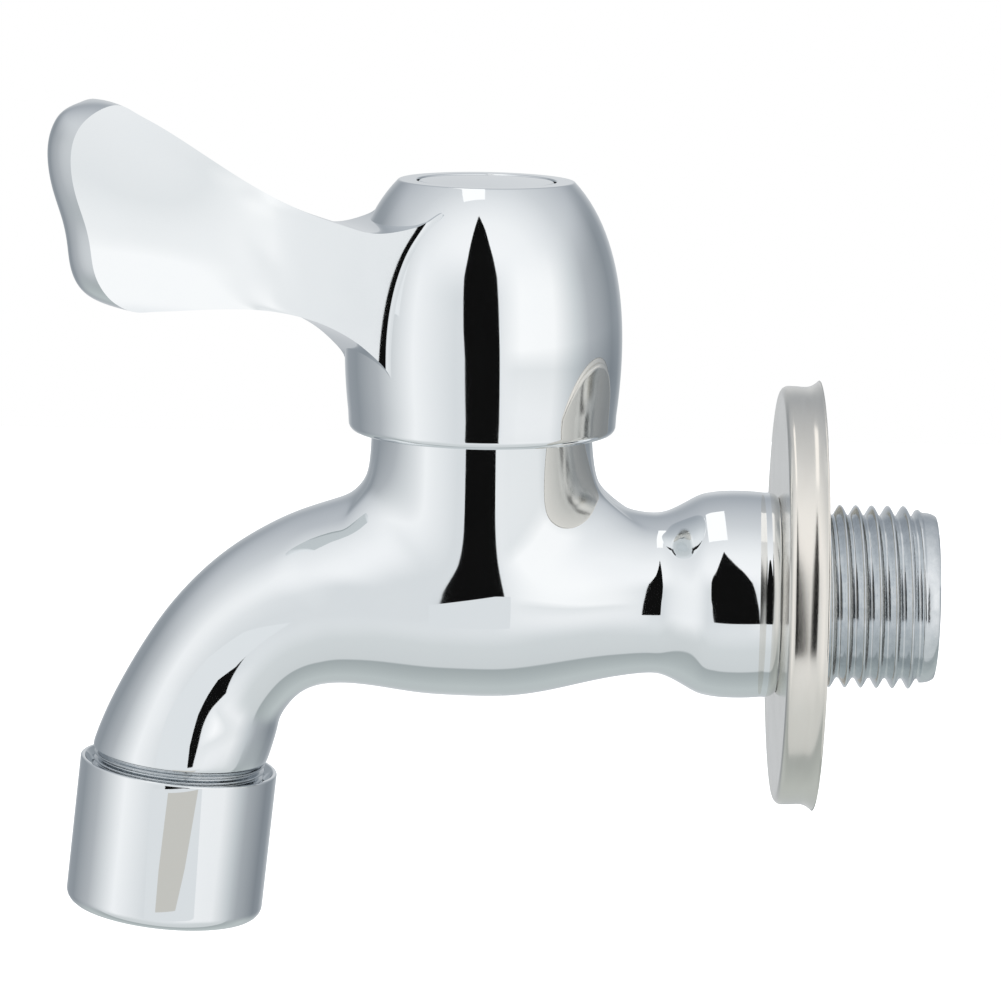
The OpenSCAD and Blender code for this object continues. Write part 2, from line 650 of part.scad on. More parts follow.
// Rubber seal between the seat and the fixed disc
module seat_seal() {
  color("dimgray") at_valve() lift(seat_z)
    ring(cage_bore_d - 2 * disc_clear, port_d[1], seat_seal_h);
}

module ports(middle) {
  for (turn = [0, 180])
    lift(-cut) sector(port_d[1], port_d[0], disc_h + 2 * cut, middle + turn, port_angle);
}
module disc() { cylinder(d = cage_bore_d - 2 * disc_clear, h = disc_h); }

// Ceramic disc that stands still, with two ports in line with the inlet
module fixed_disc() {
  color("whitesmoke") at_valve() lift(fixed_disc_z) difference() {
    disc();
    ports(0);
  }
}

// Ceramic disc that turns with the spindle, with a slot for its tongue
module moving_disc() {
  slot = tongue + tongue_clear * [2, 1];
  color("ivory") at_handle() lift(moving_disc_z) difference() {
    disc();
    ports(90);
    translate([-cage_bore_d, -slot[0] / 2, disc_h - slot[1]]) cube([2 * cage_bore_d, slot[0], slot[1] + cut]);
  }
}

// Brass spindle: tongue, drive plate, stem with two seal grooves, splined end with a tapped hole
module spindle() {
  groove_r = stem_bore_d / 2 - oring_cord - 2 * oring_clear;
  color("peru") at_handle() difference() {
    union() {
      lift(plate_z - tongue[1]) intersection() {
        cylinder(d = plate_d, h = tongue[1] + cut);
        translate([-plate_d, -tongue[0] / 2, 0]) cube([2 * plate_d, tongue[0], tongue[1] + cut]);
      }
      lift(plate_z) intersection() {
        cylinder(d = plate_d, h = plate_h);
        translate([-plate_d, -plate_w / 2, 0]) cube([2 * plate_d, plate_w, plate_h]);
      }
      lift(plate_z) cylinder(d = stem_d, h = stem_top - plate_z);
      lift(stem_top) splines(spline_len);
    }
    for (z = oring_z)
      lift(z - oring_groove / 2) ring(stem_d + 2 * cut, 2 * groove_r, oring_groove);
    lift(clip_z - clip_groove[1])
      ring(spline_d + 2 * cut, spline_d - 2 * spline_h - 2 * clip_groove[0], clip_h + 2 * clip_groove[1]);
    lift(clip_z + clip_h + clip_groove[1]) cylinder(d = screw_d + 2 * screw_clear, h = spline_len);
  }
}

// Low-friction washer between the drive plate and the cage's roof
module friction_washer() {
  color("white") at_handle() lift(friction_z)
    ring(cage_bore_d - 2 * disc_clear, stem_d + 2 * disc_clear, friction_washer_h);
}

// The stem's two rubber seal rings
module spindle_orings() {
  middle_r = stem_bore_d / 2 - oring_clear - oring_cord / 2;
  color("black") at_handle()
    for (z = oring_z) lift(z) rotate_extrude() translate([middle_r, 0]) circle(d = oring_cord);
}

// Steel ring on the splines whose lug meets the headwork's stop wall at both ends of the turn
module stop_ring() {
  lug_d = gland_d - 2 * stop_clear;
  color("lightsteelblue") at_handle() lift(stem_top) difference() {
    union() {
      cylinder(d = stop_ring_d, h = stop_ring_h);
      sector(lug_d, spline_d, stop_ring_h, 180, stop_lug);
    }
    lift(-cut) splines(stop_ring_h + 2 * cut, spline_clear);
  }
}

// Spring-steel clip that holds the stop ring and the spindle
module spindle_clip() {
  inner_d = spline_d - 2 * spline_h - 2 * clip_groove[0] + 2 * clip_groove[1];
  color("slategray") at_handle() lift(clip_z) difference() {
    ring(inner_d + 2 * clip_w, inner_d, clip_h);
    translate([0, -clip_mouth / 2, -cut]) cube([inner_d + 2 * clip_w, clip_mouth, clip_h + 2 * cut]);
  }
}

// Outline of the lever seen from its side: four edges, filled in between them
corner_top = [lever_len - paddle_top[0], lever_notch + paddle_top[1]];
corner_foot = [lever_len - paddle_foot[0], lever_notch - paddle_foot[1]];
notch = [lever_len, lever_notch];
top_edge = [lever_root_top, lever_root_top + top_pull_root, corner_top - top_pull_tip, corner_top];
foot_edge = [lever_root_foot, lever_root_foot + foot_pull_root, corner_foot - foot_pull_tip, corner_foot];
heel = [corner_foot, corner_foot + heel_pull_tip, notch + [heel_pull_notch[0], -heel_pull_notch[1]], notch];
lobe = [notch, notch + lobe_pull_notch, corner_top + [lobe_pull_tip[0], -lobe_pull_tip[1]], corner_top];
start_foot = [lever_start[0], lever_start[1]];
start_top = [lever_start[0], lever_start[2]];
notch_v = paddle_foot[1] / (paddle_foot[1] + paddle_top[1]);
// Share of the lever's length that lies inside the bell
hidden_u = 0.1;
function edge_at(from, p, u) =
  u < hidden_u ? mix(from, p[0], u / hidden_u) : cubic(p, (u - hidden_u) / (1 - hidden_u));
function tip_at(v) = v < notch_v ? cubic(heel, v / notch_v) : cubic(lobe, (v - notch_v) / (1 - notch_v));
function side_at(u, v) =
  mix(edge_at(start_foot, foot_edge, u), edge_at(start_top, top_edge, u), v)
  + mix(mix(start_foot, start_top, v), tip_at(v), u)
  - mix(mix(start_foot, start_top, v), mix(corner_foot, corner_top, v), u);
// Share of the paddle's length, from the lever's slimmest place to the upper corner
function paddle_share(x) = min(max((x - lever_slim) / (corner_top[0] - lever_slim), 0), 1);
function half_thick(x) =
  let (slim = lever_thick[1] / 2)
  x < lever_slim
    ? slim + (lever_thick[0] / 2 - slim)
      * pow((lever_slim - x) / (lever_slim - lever_root_top[0]), lever_flare)
    : mix(slim, lever_thick[2] / 2, ease(paddle_share(x)));
function valley(x, v) =
  let (off = v < notch_v ? (notch_v - v) / notch_v : (v - notch_v) / (1 - notch_v))
  lever_valley * ease(paddle_share(x)) * pow(1 - off * off, 2);

module lever() {
  along_n = 20;
  across_n = 10;
  function face_point(u, v, side) =
    let (p = side_at(u, v)) [p[0], side * (half_thick(p[0]) - valley(p[0], v)), p[1]];
  // Edge of the face from the root, along the foot, up the paddle's end and back along the top
  way = concat(
    [for (i = [0:along_n]) [i, 0]],
    [for (j = [1:across_n]) [along_n, j]],
    [for (i = [along_n - 1:-1:0]) [i, across_n]]);
  function away(i, j) =
    let (
      u = i / along_n,
      v = j / across_n,
      d = 0.02,
      foot = side_at(u, d) - side_at(u, 0),
      top = side_at(u, 1 - d) - side_at(u, 1),
      tip = side_at(1 - d, v) - side_at(1, v))
    i == along_n && j > 0 && j < across_n ? -unit(tip)
    : i == 0 ? [0, j == 0 ? -1 : 1]
    : -unit(j == 0 ? foot : top);
  faces_n = (along_n + 1) * (across_n + 1);
  near = [for (i = [0:along_n]) for (j = [0:across_n]) face_point(i / along_n, j / across_n, -1)];
  far = [for (i = [0:along_n]) for (j = [0:across_n]) face_point(i / along_n, j / across_n, 1)];
  ridge = [for (w = way)
    let (
      out = away(w[0], w[1]),
      crown = w[0] == along_n ? max(lever_crown[1] * out[0], lever_crown[0]) : lever_crown[0],
      p = side_at(w[0] / along_n, w[1] / across_n) + crown * out)
    [p[0], 0, p[1]]];
  function n(i, j) = i * (across_n + 1) + j;
  function f(i, j) = faces_n + n(i, j);
  function m(k) = 2 * faces_n + k;
  near_faces = joined([for (i = [0:along_n - 1]) for (j = [0:across_n - 1])
    patch(n(i, j), n(i, j + 1), n(i + 1, j + 1), n(i + 1, j))]);
  far_faces = joined([for (i = [0:along_n - 1]) for (j = [0:across_n - 1])
    patch(f(i, j), f(i + 1, j), f(i + 1, j + 1), f(i, j + 1))]);
  edges = joined([for (k = [0:len(way) - 2])
    let (a = way[k], b = way[k + 1])
    concat(
      patch(n(a[0], a[1]), n(b[0], b[1]), m(k + 1), m(k)),
      patch(m(k), m(k + 1), f(b[0], b[1]), f(a[0], a[1])))]);
  root = concat(
    [[n(0, 0), m(0), f(0, 0)], [f(0, across_n), m(len(way) - 1), n(0, across_n)]],
    joined([for (j = [0:across_n - 1]) patch(n(0, j), f(0, j), f(0, j + 1), n(0, j + 1))]));
  polyhedron(points = concat(near, far, ridge), faces = concat(near_faces, far_faces, edges, root));
}

// Chromed handle in one casting: the bell over the headwork and the fish-tailed lever
module handle_lever() {
  foot_r = bell_foot_d / 2;
  top_r = bell_top_d / 2;
  shoulder = [foot_r, bell_edge];
  color("silver") at_handle() lift(bell_base) difference() {
    union() {
      rotate_extrude() polygon(concat(
        [[0, 0]],
        arc([foot_r - bell_edge, bell_edge], bell_edge, 270, 360),
        curve([shoulder, shoulder + bell_pull_low, [top_r + bell_pull_high[0], bell_h - bell_pull_high[1]],
          [top_r, bell_h]], 24),
        [[0, bell_h]]));
      lever();
    }
    rotate_extrude() polygon([
      [0, -cut], [bell_bore_d / 2, -cut], [bell_bore_d / 2, bell_bore_h],
      [bell_ceiling[0] / 2, bell_ceiling[1]],
      [boss_d / 2, bell_ceiling[1]], [boss_d / 2, boss_z - bell_base], [0, boss_z - bell_base]]);
    lift(boss_z - bell_base - cut) splines(spindle_top - boss_z + cut, spline_clear);
    lift(spindle_top - bell_base - cut) cylinder(d = screw_d + 2 * screw_hole_clear, h = bell_h);
    lift(screw_floor - bell_base) cylinder(d = screw_recess[0], h = bell_h);
    lift(cap_floor - bell_base) cylinder(d = cap_recess[0], h = bell_h);
  }
}

// Screw that pulls the handle down on the spindle
module handle_screw() {
  head_z = screw_floor + spring_washer[1];
  color("lightgray") at_handle() difference() {
    union() {
      lift(head_z) cylinder(d = screw_head[0], h = screw_head[1]);
      lift(head_z - screw_len) cylinder(d = screw_d, h = screw_len + cut);
    }
    for (turn = [0, 90])
      lift(head_z + screw_head[1] - screw_cross[1]) rotate([0, 0, turn])
        translate([-screw_cross[2] / 2, -screw_cross[0] / 2, 0])
          cube([screw_cross[2], screw_cross[0], screw_cross[1] + cut]);
  }
}

// Spring washer under the screw's head
module screw_washer() {
  color("gray") at_handle() lift(screw_floor)
    ring(spring_washer[0], screw_d + 2 * screw_hole_clear, spring_washer[1]);
}

// Plain chromed cap that snaps into the bell's top
module handle_cap() {
  r = cap_recess[0] / 2 - cap_clear;
  top = bell_top - cap_sink;
  color("silver") at_handle() rotate_extrude() polygon([
    [0, top - cap_h], [r - cap_skirt, top - cap_h], [r - cap_skirt, cap_floor], [r, cap_floor],
    [r, top - cap_chamfer], [r - cap_chamfer, top], [0, top]]);
}

// Chromed housing of the aerator, screwed on the outlet
module aerator_housing() {
  r = aerator_d / 2;
  round_r = aerator_edge[0];
  rim_r = r - aerator_edge[1];
  color("silver") at_outlet() rotate_extrude() polygon(concat(
    [[aerator_lip[0] / 2, aerator_foot]],
    arc([r - round_r, aerator_foot + round_r], round_r, 270, 360),
    [[r, -aerator_gap - aerator_edge[1]], [rim_r, -aerator_gap], [mouth_d / 2, -aerator_gap],
      [mouth_d / 2, insert_shoulder_z], [insert_bore_d / 2, insert_shoulder_z],
      [insert_bore_d / 2, insert_foot - insert_clear], [aerator_lip[0] / 2, insert_foot - insert_clear]]));
}

// Rubber gasket between the outlet's end and the insert
module aerator_gasket() {
  color("black") at_outlet() lift(insert_z)
    ring(outlet_thread_d - 2 * insert_clear, outlet_bore_d, gasket_h);
}

// Places of a hexagonal pattern that keep clear of a disc's edge
function cells(pitch, limit) = [for (row = [-12:12]) for (col = [-12:12])
  let (p = pitch * [col + row / 2, row * sin(60)]) if (norm(p) <= limit) p];

// Dirt screen inside the gasket, on the insert's mouth
module inlet_screen() {
  d = outlet_bore_d - 4 * insert_clear;
  color("lightgray") at_outlet() lift(insert_z) difference() {
    cylinder(d = d, h = screen_h);
    for (p = cells(screen_hole[1], insert_mouth_d / 2 - screen_hole[0]))
      translate([p[0], p[1], -cut]) cylinder(d = screen_hole[0], h = screen_h + 2 * cut);
  }
}

// Plastic insert: a flange under the gasket and a sleeve with a ledge for the honeycomb
module aerator_core() {
  flange_r = outlet_thread_d / 2 - insert_clear;
  under = insert_z - insert_flange_h;
  ledge_r = sleeve_bore_d / 2 - insert_ledge[0];
  color("white") at_outlet() rotate_extrude() polygon([
    [insert_mouth_d / 2, insert_z], [flange_r, insert_z], [flange_r, under], [insert_d / 2, under],
    [insert_d / 2, insert_foot], [ledge_r, insert_foot], [ledge_r, insert_foot + insert_ledge[1]],
    [sleeve_bore_d / 2, insert_foot + insert_ledge[1]], [sleeve_bore_d / 2, under],
    [insert_mouth_d / 2, under]]);
}

// Jet plate under the insert's flange, with a ring of small jets
module diffuser_plate() {
  color("whitesmoke") at_outlet() lift(insert_z - insert_flange_h - jet_plate_h) difference() {
    cylinder(d = plug_d, h = jet_plate_h);
    for (i = [0:jet_count - 1])
      rotate([0, 0, 360 * i / jet_count]) translate([insert_mouth_d / 2 - jet_d, 0, -cut])
        cylinder(d = jet_d, h = jet_plate_h + 2 * cut);
  }
}

// Honeycomb at the outlet
module outlet_grid() {
  pitch = comb_cell + comb_web;
  color("whitesmoke") at_outlet() lift(insert_foot + insert_ledge[1]) linear_extrude(comb_h) difference() {
    circle(d = plug_d);
    for (p = cells(pitch, plug_d / 2 - insert_ledge[0] - comb_cell / 2))
      translate(p) rotate(30) circle(d = comb_cell / cos(30), $fn = 6);
  }
}

valve_body();
wall_flange();
headwork_body();
neck_seal();
seat_seal();
fixed_disc();
moving_disc();
spindle();
friction_washer();
spindle_orings();
stop_ring();
spindle_clip();
handle_lever();
handle_screw();
screw_washer();
handle_cap();
aerator_housing();
aerator_gasket();
inlet_screen();
aerator_core();
diffuser_plate();
outlet_grid();
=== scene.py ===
# Wall-mounted utility sink tap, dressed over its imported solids. Sizes are in millimetres and are
# turned to metres as each piece is made. The inlet's axis at the wall is the origin, +Z is up.
from math import atan2, cos, exp, hypot, pi, radians, sin, tan
import bmesh
import bpy
from mathutils import Matrix, Vector


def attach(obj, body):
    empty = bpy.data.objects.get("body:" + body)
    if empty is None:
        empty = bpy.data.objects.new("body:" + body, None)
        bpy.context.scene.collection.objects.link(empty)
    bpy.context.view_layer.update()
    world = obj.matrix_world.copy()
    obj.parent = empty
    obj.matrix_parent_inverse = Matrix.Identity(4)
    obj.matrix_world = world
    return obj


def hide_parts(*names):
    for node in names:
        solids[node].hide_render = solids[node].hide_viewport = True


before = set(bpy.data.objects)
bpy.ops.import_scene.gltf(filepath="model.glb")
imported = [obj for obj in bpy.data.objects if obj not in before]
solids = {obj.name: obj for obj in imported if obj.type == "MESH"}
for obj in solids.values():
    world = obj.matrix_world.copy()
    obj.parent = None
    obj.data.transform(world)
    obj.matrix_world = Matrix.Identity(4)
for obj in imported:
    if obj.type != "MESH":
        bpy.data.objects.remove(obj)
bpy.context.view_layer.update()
scene = bpy.context.scene
scene.view_settings.view_transform = "Standard"

# Camera: a little higher than the handle, about half a metre away, looking down by some ten degrees
# and turned about its own axis by one, as the photograph was taken.
MM = 0.001
LOOK_AT = Vector((-36.234, 0, 10.348)) * MM
LOOK_DOWN, LOOK_ROLL, LOOK_FROM = radians(9.5), radians(1.1), 520 * MM
PICTURE_WIDTH, FILM_WIDTH = 114.4 * MM, 36
back = Vector((0, -cos(LOOK_DOWN), sin(LOOK_DOWN)))
level, over = Vector((1, 0, 0)), Vector((0, sin(LOOK_DOWN), cos(LOOK_DOWN)))
right = cos(LOOK_ROLL) * level + sin(LOOK_ROLL) * over
above = cos(LOOK_ROLL) * over - sin(LOOK_ROLL) * level
lens = bpy.data.cameras.new("camera")
lens.sensor_width = FILM_WIDTH
lens.lens = FILM_WIDTH * LOOK_FROM / PICTURE_WIDTH
camera = bpy.data.objects.new("camera", lens)
scene.collection.objects.link(camera)
facing = Matrix((right, above, back)).transposed().to_4x4()
camera.matrix_world = Matrix.Translation(LOOK_AT + LOOK_FROM * back) @ facing
scene.camera = camera

# Valve body: brass, cast round sand cores, ground, polished and chromed. The tube runs from the
# collar to the outlet, and the neck flares out of its top with no visible edge.
VALVE_X, COLLAR_X = -38.5, 34.1
OUTLET_X, OUTLET_Z, LEAN = -34.1, -19.6, radians(5.7)
BEND = [Vector((-8, 0)), Vector((-24.2, 0)), Vector((-29.99, -6.95)), Vector((OUTLET_X, OUTLET_Z))]
BEND_STEPS, FINE_STEPS, SQUARE_FROM = 13, 20, 9
# the collar is a low barrel with a narrow land at its face: distance from the valve's axis, radius
COLLAR = {33.9: 11.35, 33.3: 11.72, 32.5: 11.72, 31.9: 11.78, 30.6: 11.86, 29.2: 11.88, 27.6: 11.82,
          26.4: 11.66, 25.2: 11.38, 23.9: 10.72, 22.4: 9.9, 20.8: 9.3}
CHAMBER = [18.8, 15.2, 11.4, 7.4, 3, -1.5, -5]
WAIST_R, CHAMBER_R, SPOUT_R, OUTLET_R = 9.2, 12.2, 8.9, 10.05
BULGE, BULGE_REACH = 0.45, 6
CORE_R, CORE_DEPTH = 6.6, 18
COLLAR_FACE, OUTLET_FACE = (CORE_R, 9.4, 10.9), (9.75, 8.6)
NECK_R, NECK_TOP, FLARE_TOP, NECK_EASED = 12.6, 19.6, 17.6, 0.3
FLARE_LEAVES, FLARE_ARRIVES, FLARE_ROWS = 0.42, 0.49, (0.22, 0.45, 0.7, 1)
NECK_BORE = [(NECK_R, NECK_TOP - NECK_EASED), (NECK_R - NECK_EASED, NECK_TOP), (10.5, NECK_TOP),
             (10.5, 12.2), (9.6, 12.2), (9.6, 0.8)]
# the neck stands on the top sides of the tube, and takes this much of it to each way of the axis
TOP_SIDES, LOW_SIDES = 6, 10
HUB_INLET, HUB_SPOUT, EVEN_AFTER = 18.8, 16, 8
HALF_MIDDLE, HALF_END, HALF_EVEN = 90, 40, 67.5
WELD = 0.0005


def cubic(p, t):
    """Point at share t of a curve with four control points."""
    return ((1 - t) ** 3 * p[0] + 3 * (1 - t) ** 2 * t * p[1]
            + 3 * (1 - t) * t * t * p[2] + t ** 3 * p[3])


def eased(x, knots):
    """Value that eases from knot to knot, each a place and a value."""
    for (x0, v0), (x1, v1) in zip(knots, knots[1:]):
        if x < x1:
            u = max(0.0, (x - x0) / (x1 - x0))
            return v0 + (v1 - v0) * u * u * (3 - 2 * u)
    return knots[-1][1]


def extend(bm, edges, place):
    """Extrudes a row of edges, puts each new corner where place says and returns the new row."""
    made = bmesh.ops.extrude_edge_only(bm, edges=edges)["geom"]
    corners = {v for v in made if isinstance(v, bmesh.types.BMVert)}
    for v in corners:
        v.co = place(v)
    return [e for e in made if isinstance(e, bmesh.types.BMEdge) and set(e.verts) <= corners]


def piece(name, bm, body, slot, *replaced):
    """Makes a mesh in millimetres an object in metres that rides on a body."""
    bmesh.ops.remove_doubles(bm, verts=bm.verts, dist=WELD)
    bmesh.ops.recalc_face_normals(bm, faces=bm.faces)
    bmesh.ops.scale(bm, vec=(MM, MM, MM), verts=bm.verts)
    for f in bm.faces:
        f.smooth = True
    mesh = bpy.data.meshes.new(name)
    bm.to_mesh(mesh)
    bm.free()
    obj = bpy.data.objects.new(name, mesh)
    scene.collection.objects.link(obj)
    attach(obj, body)
    if replaced:
        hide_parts(*replaced)
    return obj


def smoothed(obj, levels, passes):
    """Subdivides a cage and moves its corners until the skin passes through where they were."""
    skin = obj.modifiers.new("skin", "SUBSURF")
    skin.levels = skin.render_levels = levels
    goals = [v.co.copy() for v in obj.data.vertices]
    for _ in range(passes):
        shown = obj.evaluated_get(bpy.context.evaluated_depsgraph_get())
        reached = [v.co.copy() for v in shown.to_mesh().vertices[:len(goals)]]
        shown.to_mesh_clear()
        for v, goal, got in zip(obj.data.vertices, goals, reached):
            v.co += goal - got
        obj.data.update()


# stations along the tube: place on the centre line, heading, and distance from the valve's axis
stations = [(Vector((x, 0)), Vector((-1, 0)), -x) for x in [*COLLAR, *CHAMBER]]
distance = -BEND[0].x
down_spout = Vector((-sin(LEAN), -cos(LEAN)))
for i in range(BEND_STEPS + 1):
    t = i / BEND_STEPS
    here = cubic(BEND, t)
    if i:
        fine = [cubic(BEND, (i - 1 + k / FINE_STEPS) / BEND_STEPS) for k in range(FINE_STEPS + 1)]
        distance += sum((b - a).length for a, b in zip(fine, fine[1:]))
    ahead = (cubic(BEND, min(t + 0.01, 1)) - cubic(BEND, max(t - 0.01, 0))).normalized()
    ahead = ahead.lerp(down_spout, eased(i, [(SQUARE_FROM, 0), (BEND_STEPS, 1)])).normalized()
    stations.append((here, ahead, distance))
last = len(stations) - 1
girth = [(-20.5, WAIST_R), (-2, CHAMBER_R), (2, CHAMBER_R), (distance - 13.1, SPOUT_R),
         (distance - 10.6, SPOUT_R), (distance - 0.6, OUTLET_R)]


def ring_angle(s, j):
    """Angle from the top of side j. The top sides draw together at both ends of the neck."""
    end = HUB_INLET if s < 0 else HUB_SPOUT
    if abs(s) < end:
        half = HALF_END + (HALF_MIDDLE - HALF_END) * cos(pi / 2 * abs(s) / end)
    else:
        half = eased(abs(s) - end, [(0, HALF_END), (EVEN_AFTER, HALF_EVEN)])
    if j <= TOP_SIDES:
        return radians(half * (2 * j / TOP_SIDES - 1))
    return radians(half + (360 - 2 * half) * (j - TOP_SIDES) / LOW_SIDES)


def on_tube(i, j, r):
    """Point of side j of the tube at station i, at a radius."""
    point, ahead, s = stations[i]
    a = ring_angle(s, j)
    up = Vector((ahead.y, 0, -ahead.x))
    bulge = BULGE * exp(-(s / BULGE_REACH) ** 2)
    return Vector((VALVE_X + point.x, (r + bulge) * sin(a), point.y)) + r * cos(a) * up


bm = bmesh.new()
number = bm.verts.layers.int.new("number")
ring = bm.verts.layers.int.new("ring")
made = bmesh.ops.create_circle(bm, segments=TOP_SIDES + LOW_SIDES, radius=CORE_R)["verts"]
for j, v in enumerate(made):
    v[number], v[ring] = j, -1
    v.co = on_tube(0, j, CORE_R) - Vector((CORE_DEPTH, 0, 0))
row = list(bm.edges)
bmesh.ops.contextual_create(bm, geom=row)
to_face = Vector((COLLAR_X - stations[0][0].x, 0, 0))
for r in COLLAR_FACE:
    row = extend(bm, row, lambda v: on_tube(0, v[number], r) + to_face)
for i, (_, _, s) in enumerate(stations):
    r = COLLAR.get(-s, eased(s, girth))
    row = extend(bm, row, lambda v: on_tube(i, v[number], r))
    for v in {v for e in row for v in e.verts}:
        v[ring] = i
for r in OUTLET_FACE:
    row = extend(bm, row, lambda v: on_tube(last, v[number], r))
    for v in {v for e in row for v in e.verts}:
        v[ring] = last + 1
bmesh.ops.contextual_create(bm, geom=row)

# the neck: the top of the tube is opened, and its rim drawn up in a flare that leaves it smoothly
bm.normal_update()
normals = {v: v.normal.copy() for v in bm.verts}
hub = [i for i, (_, _, s) in enumerate(stations) if -HUB_INLET <= s <= HUB_SPOUT]
opened = [f for f in bm.faces
          if len(f.verts) == 4 and all(v[ring] in hub and v[number] <= TOP_SIDES for v in f.verts)]
bmesh.ops.delete(bm, context="FACES", geom=opened)
row = [e for e in bm.edges if e.is_boundary]
flare = []
for k, v in enumerate({v for e in row for v in e.verts}):
    v[number] = k
    low = v.co.copy()
    at = atan2(low.y, low.x - VALVE_X)
    high = Vector((VALVE_X + NECK_R * cos(at), NECK_R * sin(at), FLARE_TOP))
    reach = high - low
    leave = (reach - reach.dot(normals[v]) * normals[v]).normalized()
    flare.append([low, low + FLARE_LEAVES * reach.length * leave,
                  high - Vector((0, 0, FLARE_ARRIVES * reach.length)), high])
for u in FLARE_ROWS:
    row = extend(bm, row, lambda v: cubic(flare[v[number]], u))
for r, z in NECK_BORE:
    row = extend(bm, row, lambda v: Vector((
        VALVE_X + (flare[v[number]][3].x - VALVE_X) * r / NECK_R, flare[v[number]][3].y * r / NECK_R, z)))
bmesh.ops.contextual_create(bm, geom=row)
casting = piece("body_casting", bm, "tap_body", "chromed_brass", "valve_body")
smoothed(casting, levels=3, passes=3)


def linear(code):
    """The linear colour of an sRGB hex value."""
    parts = [int(code[i:i + 2], 16) / 255 for i in (1, 3, 5)]
    return [c / 12.92 if c <= 0.04045 else ((c + 0.055) / 1.055) ** 2.4 for c in parts] + [1]


def node(tree, kind, inputs, **settings):
    """Adds a node with its settings, and its inputs as values or as links from other nodes."""
    new = tree.nodes.new("ShaderNode" + kind)
    for key, value in settings.items():
        setattr(new, key, value)
    for key, value in inputs.items():
        if isinstance(value, bpy.types.NodeSocket):
            tree.links.new(value, new.inputs[key])
        else:
            new.inputs[key].default_value = value
    return new


def material(name, inputs):
    """Starts a material whose shader takes the given constants."""
    new = bpy.data.materials.new(name)
    new.use_nodes = True
    shader = new.node_tree.nodes["Principled BSDF"]
    for key, value in inputs.items():
        shader.inputs[key].default_value = value
    return new, new.node_tree, shader


def per_mm(size):
    """Pattern scale that gives features of a size in millimetres on Object coordinates in metres."""
    return 1 / (size * MM)


def mottled(name, inputs, pattern, tones, gloss, contrast=(0, 1), lay=None):
    """Starts a material whose tone and gloss wander together over a noise pattern.

    Returns it with its nodes, its shader, its Object coordinates and the pattern's value."""
    new, tree, shader = material(name, inputs)
    place = way = node(tree, "TexCoord", {}).outputs["Object"]
    if lay:
        way = node(tree, "Mapping", {"Vector": place, "Scale": lay}).outputs["Vector"]
    patches = node(tree, "TexNoise", {"Vector": way, **pattern}).outputs["Fac"]
    tone = node(tree, "MixRGB", {"Fac": patches, "Color1": linear(tones[0]), "Color2": linear(tones[1])})
    rough = node(tree, "MapRange", {"Value": patches, "From Min": contrast[0], "From Max": contrast[1],
                                    "To Min": gloss[0], "To Max": gloss[1]})
    tree.links.new(tone.outputs["Color"], shader.inputs["Base Color"])
    tree.links.new(rough.outputs["Result"], shader.inputs["Roughness"])
    return new, tree, shader, place, patches


# Chrome plate over polished brass: a neutral mirror with a trace of blue. Buffing by hand leaves
# it a little wavy, and handling leaves faint smears that only show in its gloss.
SMEAR, BUFFED, WAVINESS = 9, 13, 0.02
chrome, tree, shader, place, _ = mottled(
    "polished_chrome_plate", {"Metallic": 1}, {"Scale": per_mm(SMEAR), "Detail": 4, "Roughness": 0.6},
    tones=("#F0F2F3", "#ECEFF1"), gloss=(0.025, 0.06), contrast=(0.35, 0.75))
buffing = node(tree, "TexNoise", {"Vector": place, "Scale": per_mm(BUFFED), "Detail": 1})
waves = node(tree, "Bump", {"Strength": 1, "Distance": WAVINESS * MM, "Height": buffing.outputs["Fac"]})
tree.links.new(waves.outputs["Normal"], shader.inputs["Normal"])
casting.data.materials.append(chrome)

# Inlet tail: the casting's own end, cut with a half-inch pipe thread on a lathe after casting. The
# plating on it is thin and dull, so its rounded crests look like zinc.
PITCH, CREST_R, ROOT_R = 1.814, 10.4775, 9.32
THREAD_START, TAIL_END = -0.9, 13.6
BORE_R, BORE_EASED = 6.5, 0.35
TAIL_BORE = [(BORE_R + BORE_EASED, TAIL_END), (BORE_R, TAIL_END - BORE_EASED), (BORE_R, -24), (0.8, -24.2)]
TAIL_SPIGOT = [(9.3, -1.1), (9.3, -5.2), (7.4, -5.2)]
# the end is a plain lead that rounds off, and the crests run out just before it
LEAD, LEAD_R, LEAD_ROUNDS = 1.6, 9.75, 0.1
RUN_OUT, RUN_OUT_SLOPE = 0.9, 0.8
THREAD_STEPS = 64
# a flank of the thread: shares of the pitch and of the thread's depth
FLANK = [(0, 0), (0.09, 0.06), (0.17, 0.26), (0.3, 0.62), (0.4, 0.88), (0.45, 0.97)]
CUTTER_CHATTER, NICK = 1.2, 0.03


def threaded(pitch, crest, root, low, high):
    """A screw thread round +Z from low to high, trimmed flat at both ends."""
    bm = bmesh.new()
    form = FLANK + [(0.5, 1)] + [(1 - t, h) for t, h in reversed(FLANK)]
    chain = [bm.verts.new((root + (crest - root) * h, 0, low - pitch + pitch * t)) for t, h in form]
    for a, b in zip(chain, chain[1:]):
        bm.edges.new((a, b))
    turns = int((high - low) / pitch) + 2
    bmesh.ops.spin(bm, geom=bm.verts[:] + bm.edges[:], cent=(0, 0, 0), axis=(0, 0, 1),
                   angle=2 * pi * turns, steps=THREAD_STEPS * turns, dvec=(0, 0, pitch / THREAD_STEPS))
    bmesh.ops.remove_doubles(bm, verts=bm.verts, dist=0.001)
    for z, way in ((low, -1), (high, 1)):
        bmesh.ops.bisect_plane(bm, geom=bm.verts[:] + bm.edges[:] + bm.faces[:], plane_co=(0, 0, z),
                               plane_no=(0, 0, way), clear_outer=True)
    return bm


